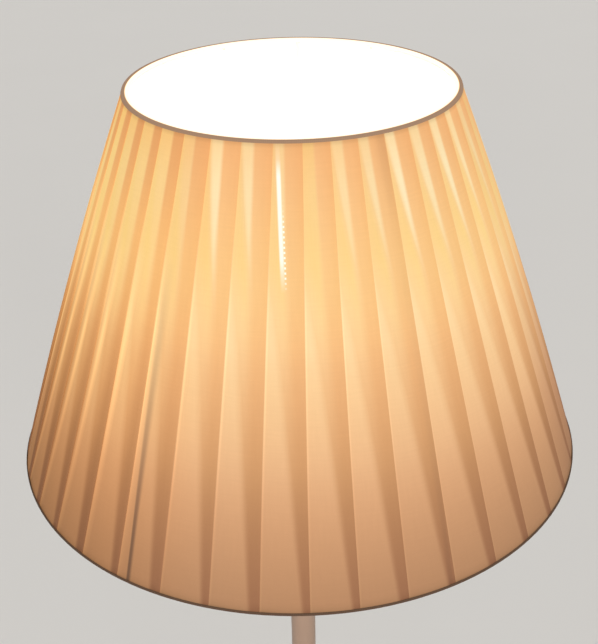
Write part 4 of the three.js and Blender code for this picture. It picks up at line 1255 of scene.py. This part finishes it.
class LAMP_OT_fit_switch(Operator):
    """Fluted knob of the turn switch"""
    bl_idname = "floor_lamp.fit_switch"
    bl_label = "Fit Switch"

    bore, bore_depth, radius, crown = 0.0028, 0.010, 0.0075, 0.0019
    round_in, round_back, edge = 0.0006, 0.0007, 0.0003
    flutes, flute_depth, flute_from = 20, 0.00045, 0.0004

    def execute(self, context):
        low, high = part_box("switch_knob")
        start, end = -high.y, -low.y
        floor = start + self.bore_depth
        face = self.radius - self.crown
        outline = [(self.bore, start), (face, start), (self.radius, end - self.crown),
                   (self.radius - self.round_in, end - self.round_back), (face, end), (0.0, end),
                   (0.0, floor), (self.bore, floor)]
        bm = eased(turned(outline, self.flutes * 4), self.edge, over=28.0)
        drawn_in(bm, face + self.flute_from, lambda angle, z:
                 self.flute_depth * trough(self.flutes * angle / FULL_TURN))
        laid(bm, QUARTER_TURN, (0.0, 0.0, mid_height("switch_knob")))
        keep("knob", bm, dark_plastic(), "turn_switch", "dark_plastic", ["switch_knob"],
             smooth_to=50.0)
        return {"FINISHED"}


class LAMP_OT_blow_bulb(Operator):
    """Opal bulb and its threaded cap"""
    bl_idname = "floor_lamp.blow_bulb"
    bl_label = "Blow Bulb"

    globe_radius, neck_radius, wall, neck_end = 0.030, 0.0122, 0.001, 0.023
    neck_steps, globe_steps, glass_steps, join = 10, 18, 72, math.radians(-38.0)
    cap_radius, cap_wall, cap_rows, cap_steps = 0.0130, 0.0005, 60, 64
    thread_pitch, thread_depth, thread_from = 0.0036, 0.00042, 0.0128
    thread_span = (0.0, 0.08, 0.80, 0.08)

    def outline(self, low, high, inset):
        """Straight up from the cap, in a smooth bend out to the globe, and over to its top."""
        globe, neck = self.globe_radius - inset, self.neck_radius - inset
        centre, cap_top = high - self.globe_radius, low + self.neck_end
        join = self.join
        join_radius, join_z = globe * math.cos(join), centre + globe * math.sin(join)
        reach = (join_z - cap_top) / 2.0
        corners = [Vector((neck, cap_top)), Vector((neck, cap_top + reach)),
                   Vector((join_radius + reach * math.sin(join), join_z - reach * math.cos(join))),
                   Vector((join_radius, join_z))]
        points = [(neck, low)]
        for index in range(self.neck_steps + 1):
            line = corners
            while len(line) > 1:
                line = [start.lerp(end, index / self.neck_steps)
                        for start, end in zip(line, line[1:])]
            points.append(tuple(line[0]))
        for index in range(1, self.globe_steps):
            swing = join + (QUARTER_TURN - join) * index / self.globe_steps
            points.append((globe * math.cos(swing), centre + globe * math.sin(swing)))
        return [*points, (0.0, centre + globe)]

    def execute(self, context):
        low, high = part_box("bulb_globe")
        outside, inside = (self.outline(low.z, high.z, inset) for inset in (0.0, self.wall))
        keep("bulb_glass", turned([*reversed(inside), *outside], self.glass_steps),
             opal_glass(context.scene.lamp_glow), "bulb", "opal_glass", ["bulb_globe"])
        low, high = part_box("bulb_cap")
        tall = high.z - low.z
        wall = [(self.cap_radius, low.z + tall * row / self.cap_rows)
                for row in range(self.cap_rows + 1)]
        bore = self.cap_radius - self.cap_wall
        bm = turned([*wall, (bore, high.z), (bore, low.z)], self.cap_steps)
        drawn_in(bm, self.thread_from, lambda angle, z:
                 self.thread_depth * trough(z / self.thread_pitch - angle / FULL_TURN)
                 * window((z - low.z) / tall, *self.thread_span))
        metal = once(bare_metal, "bulb_cap_metal", (0.62, 0.61, 0.59), 0.3, (120.0, 120.0, 900.0))
        keep("bulb_screw_cap", bm, metal, "bulb", "solder", ["bulb_cap"])
        return {"FINISHED"}


class LAMP_OT_thread_lead(Operator):
    """Lead inside the lamp, and the gland it comes in by"""
    bl_idname = "floor_lamp.thread_lead"
    bl_label = "Thread Lead"

    radius, sides, bend, bend_steps = 0.00275, 16, 0.0075, 8
    level_to, rings_at = 0.06, (0.4, 0.9)
    gland_bore, gland_radius, flange_radius, flange = 0.00305, 0.0042, 0.0065, 0.0015
    gland_steps, gland_edge = 48, 0.0003

    def route(self):
        """In along the base, round one bend and up the stem."""
        low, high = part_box("supply_lead")
        floor = low.z + self.radius
        points = [(high.y, floor), (self.level_to, floor)]
        for index in range(self.bend_steps + 1):
            swing = QUARTER_TURN * index / self.bend_steps
            points.append((self.bend * (1.0 - math.sin(swing)),
                           floor + self.bend * (1.0 - math.cos(swing))))
        points += [(0.0, height) for height in (*self.rings_at, high.z)]
        return [Vector((0.0, *point)) for point in points]

    def execute(self, context):
        rubber = once(moulded, "lead_rubber", (0.020, 0.017, 0.015), 0.62, 1200.0)
        finish = (rubber, "stand", "rubber")
        route = self.route()
        bm = bmesh.new()
        bmesh.ops.create_circle(bm, cap_ends=True, segments=self.sides, radius=self.radius)
        laid(bm, QUARTER_TURN, route[0])
        edges = list(bm.edges)
        facing = Vector((0.0, -1.0, 0.0))
        for index, (here, there) in enumerate(zip(route, route[1:])):
            ahead = (route[min(index + 2, len(route) - 1)] - here).normalized()
            grown = bmesh.ops.extrude_edge_only(bm, edges=edges)["geom"]
            ring = [item for item in grown if isinstance(item, bmesh.types.BMVert)]
            edges = [item for item in grown if isinstance(item, bmesh.types.BMEdge)]
            bmesh.ops.translate(bm, verts=ring, vec=there - here)
            bmesh.ops.rotate(bm, verts=ring, cent=there,
                             matrix=facing.rotation_difference(ahead).to_matrix())
            facing = ahead
        bmesh.ops.contextual_create(bm, geom=edges)
        keep("inner_lead", outward(bm), *finish, ["supply_lead"])
        low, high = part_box("lead_gland")
        seat = context.scene.lamp_stand.base_radius + PLAY
        outline = [(self.gland_bore, low.y), (self.gland_radius, low.y), (self.gland_radius, seat),
                   (self.flange_radius, seat), (self.flange_radius, seat + self.flange),
                   (self.gland_radius, high.y), (self.gland_bore, high.y)]
        gland = laid(eased(turned(outline, self.gland_steps), self.gland_edge), -QUARTER_TURN,
                     (0.0, 0.0, mid_height("lead_gland")))
        keep("lead_entry", gland, *finish, ["lead_gland"])
        return {"FINISHED"}


class LAMP_OT_finish_solids(Operator):
    """Finishes for the solids that keep their own shape"""
    bl_idname = "floor_lamp.finish_solids"
    bl_label = "Finish Solids"

    def execute(self, context):
        wanted = {"base_weight": rough_iron("cast_iron_skin", (0.055, 0.050, 0.046)),
                  "holder_insulator": glazed("glazed_porcelain", (0.80, 0.77, 0.71)),
                  "bulb_insulator": dark_plastic(),
                  "bulb_tip": bare_metal("soft_solder", (0.48, 0.48, 0.47), 0.42,
                                         (300.0, 300.0, 300.0))}
        for name in ("base_nipple", "base_nut", "base_washer", "stem_foot", "cap_nut",
                     "holder_nipple"):
            wanted[name] = steel()
        for name in ("screw_shell", "centre_contact", "switch_spindle"):
            wanted[name] = brass()
        for name, material in wanted.items():
            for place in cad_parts[name].material_slots:
                place.material = material
        left = [name for name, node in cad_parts.items()
                if not node.hide_render and name not in wanted]
        if left:
            raise RuntimeError(f"these solids still show without a finish: {left}")
        return {"FINISHED"}


class LAMP_PT_pieces(Panel):
    """Lists the steps that dress the lamp"""
    bl_idname = "LAMP_PT_pieces"
    bl_label = "Floor Lamp"
    bl_space_type = "VIEW_3D"
    bl_region_type = "UI"
    bl_category = "Floor Lamp"

    def draw(self, context):
        for operator in STEPS:
            self.layout.operator(operator.bl_idname)
        for group in GROUPS.values():
            self.layout.label(text=group.__name__)


STEPS = (LAMP_OT_set_stage, LAMP_OT_bend_frame, LAMP_OT_bind_edges, LAMP_OT_fold_cover,
         LAMP_OT_stretch_lining, LAMP_OT_turn_stem, LAMP_OT_turn_base, LAMP_OT_fit_lampholder,
         LAMP_OT_fit_switch, LAMP_OT_blow_bulb, LAMP_OT_thread_lead, LAMP_OT_finish_solids)
GROUPS = {"lamp_shade": ShadeSizes, "lamp_glow": ShadeGlow, "lamp_stand": StandSizes,
          "lamp_stage": StageSizes}


def register():
    for made in (*GROUPS.values(), *STEPS, LAMP_PT_pieces):
        bpy.utils.register_class(made)
    for name, group in GROUPS.items():
        setattr(bpy.types.Scene, name, PointerProperty(type=group))


def unregister():
    for name in GROUPS:
        delattr(bpy.types.Scene, name)
    for made in reversed((*GROUPS.values(), *STEPS, LAMP_PT_pieces)):
        bpy.utils.unregister_class(made)


def main():
    register()
    bpy.ops.floor_lamp.set_stage()
    bpy.ops.floor_lamp.bend_frame()
    bpy.ops.floor_lamp.bind_edges()
    bpy.ops.floor_lamp.fold_cover()
    bpy.ops.floor_lamp.stretch_lining()
    bpy.ops.floor_lamp.turn_stem()
    bpy.ops.floor_lamp.turn_base()
    bpy.ops.floor_lamp.fit_lampholder()
    bpy.ops.floor_lamp.fit_switch()
    bpy.ops.floor_lamp.blow_bulb()
    bpy.ops.floor_lamp.thread_lead()
    bpy.ops.floor_lamp.finish_solids()


if __name__ == "__main__":
    main()
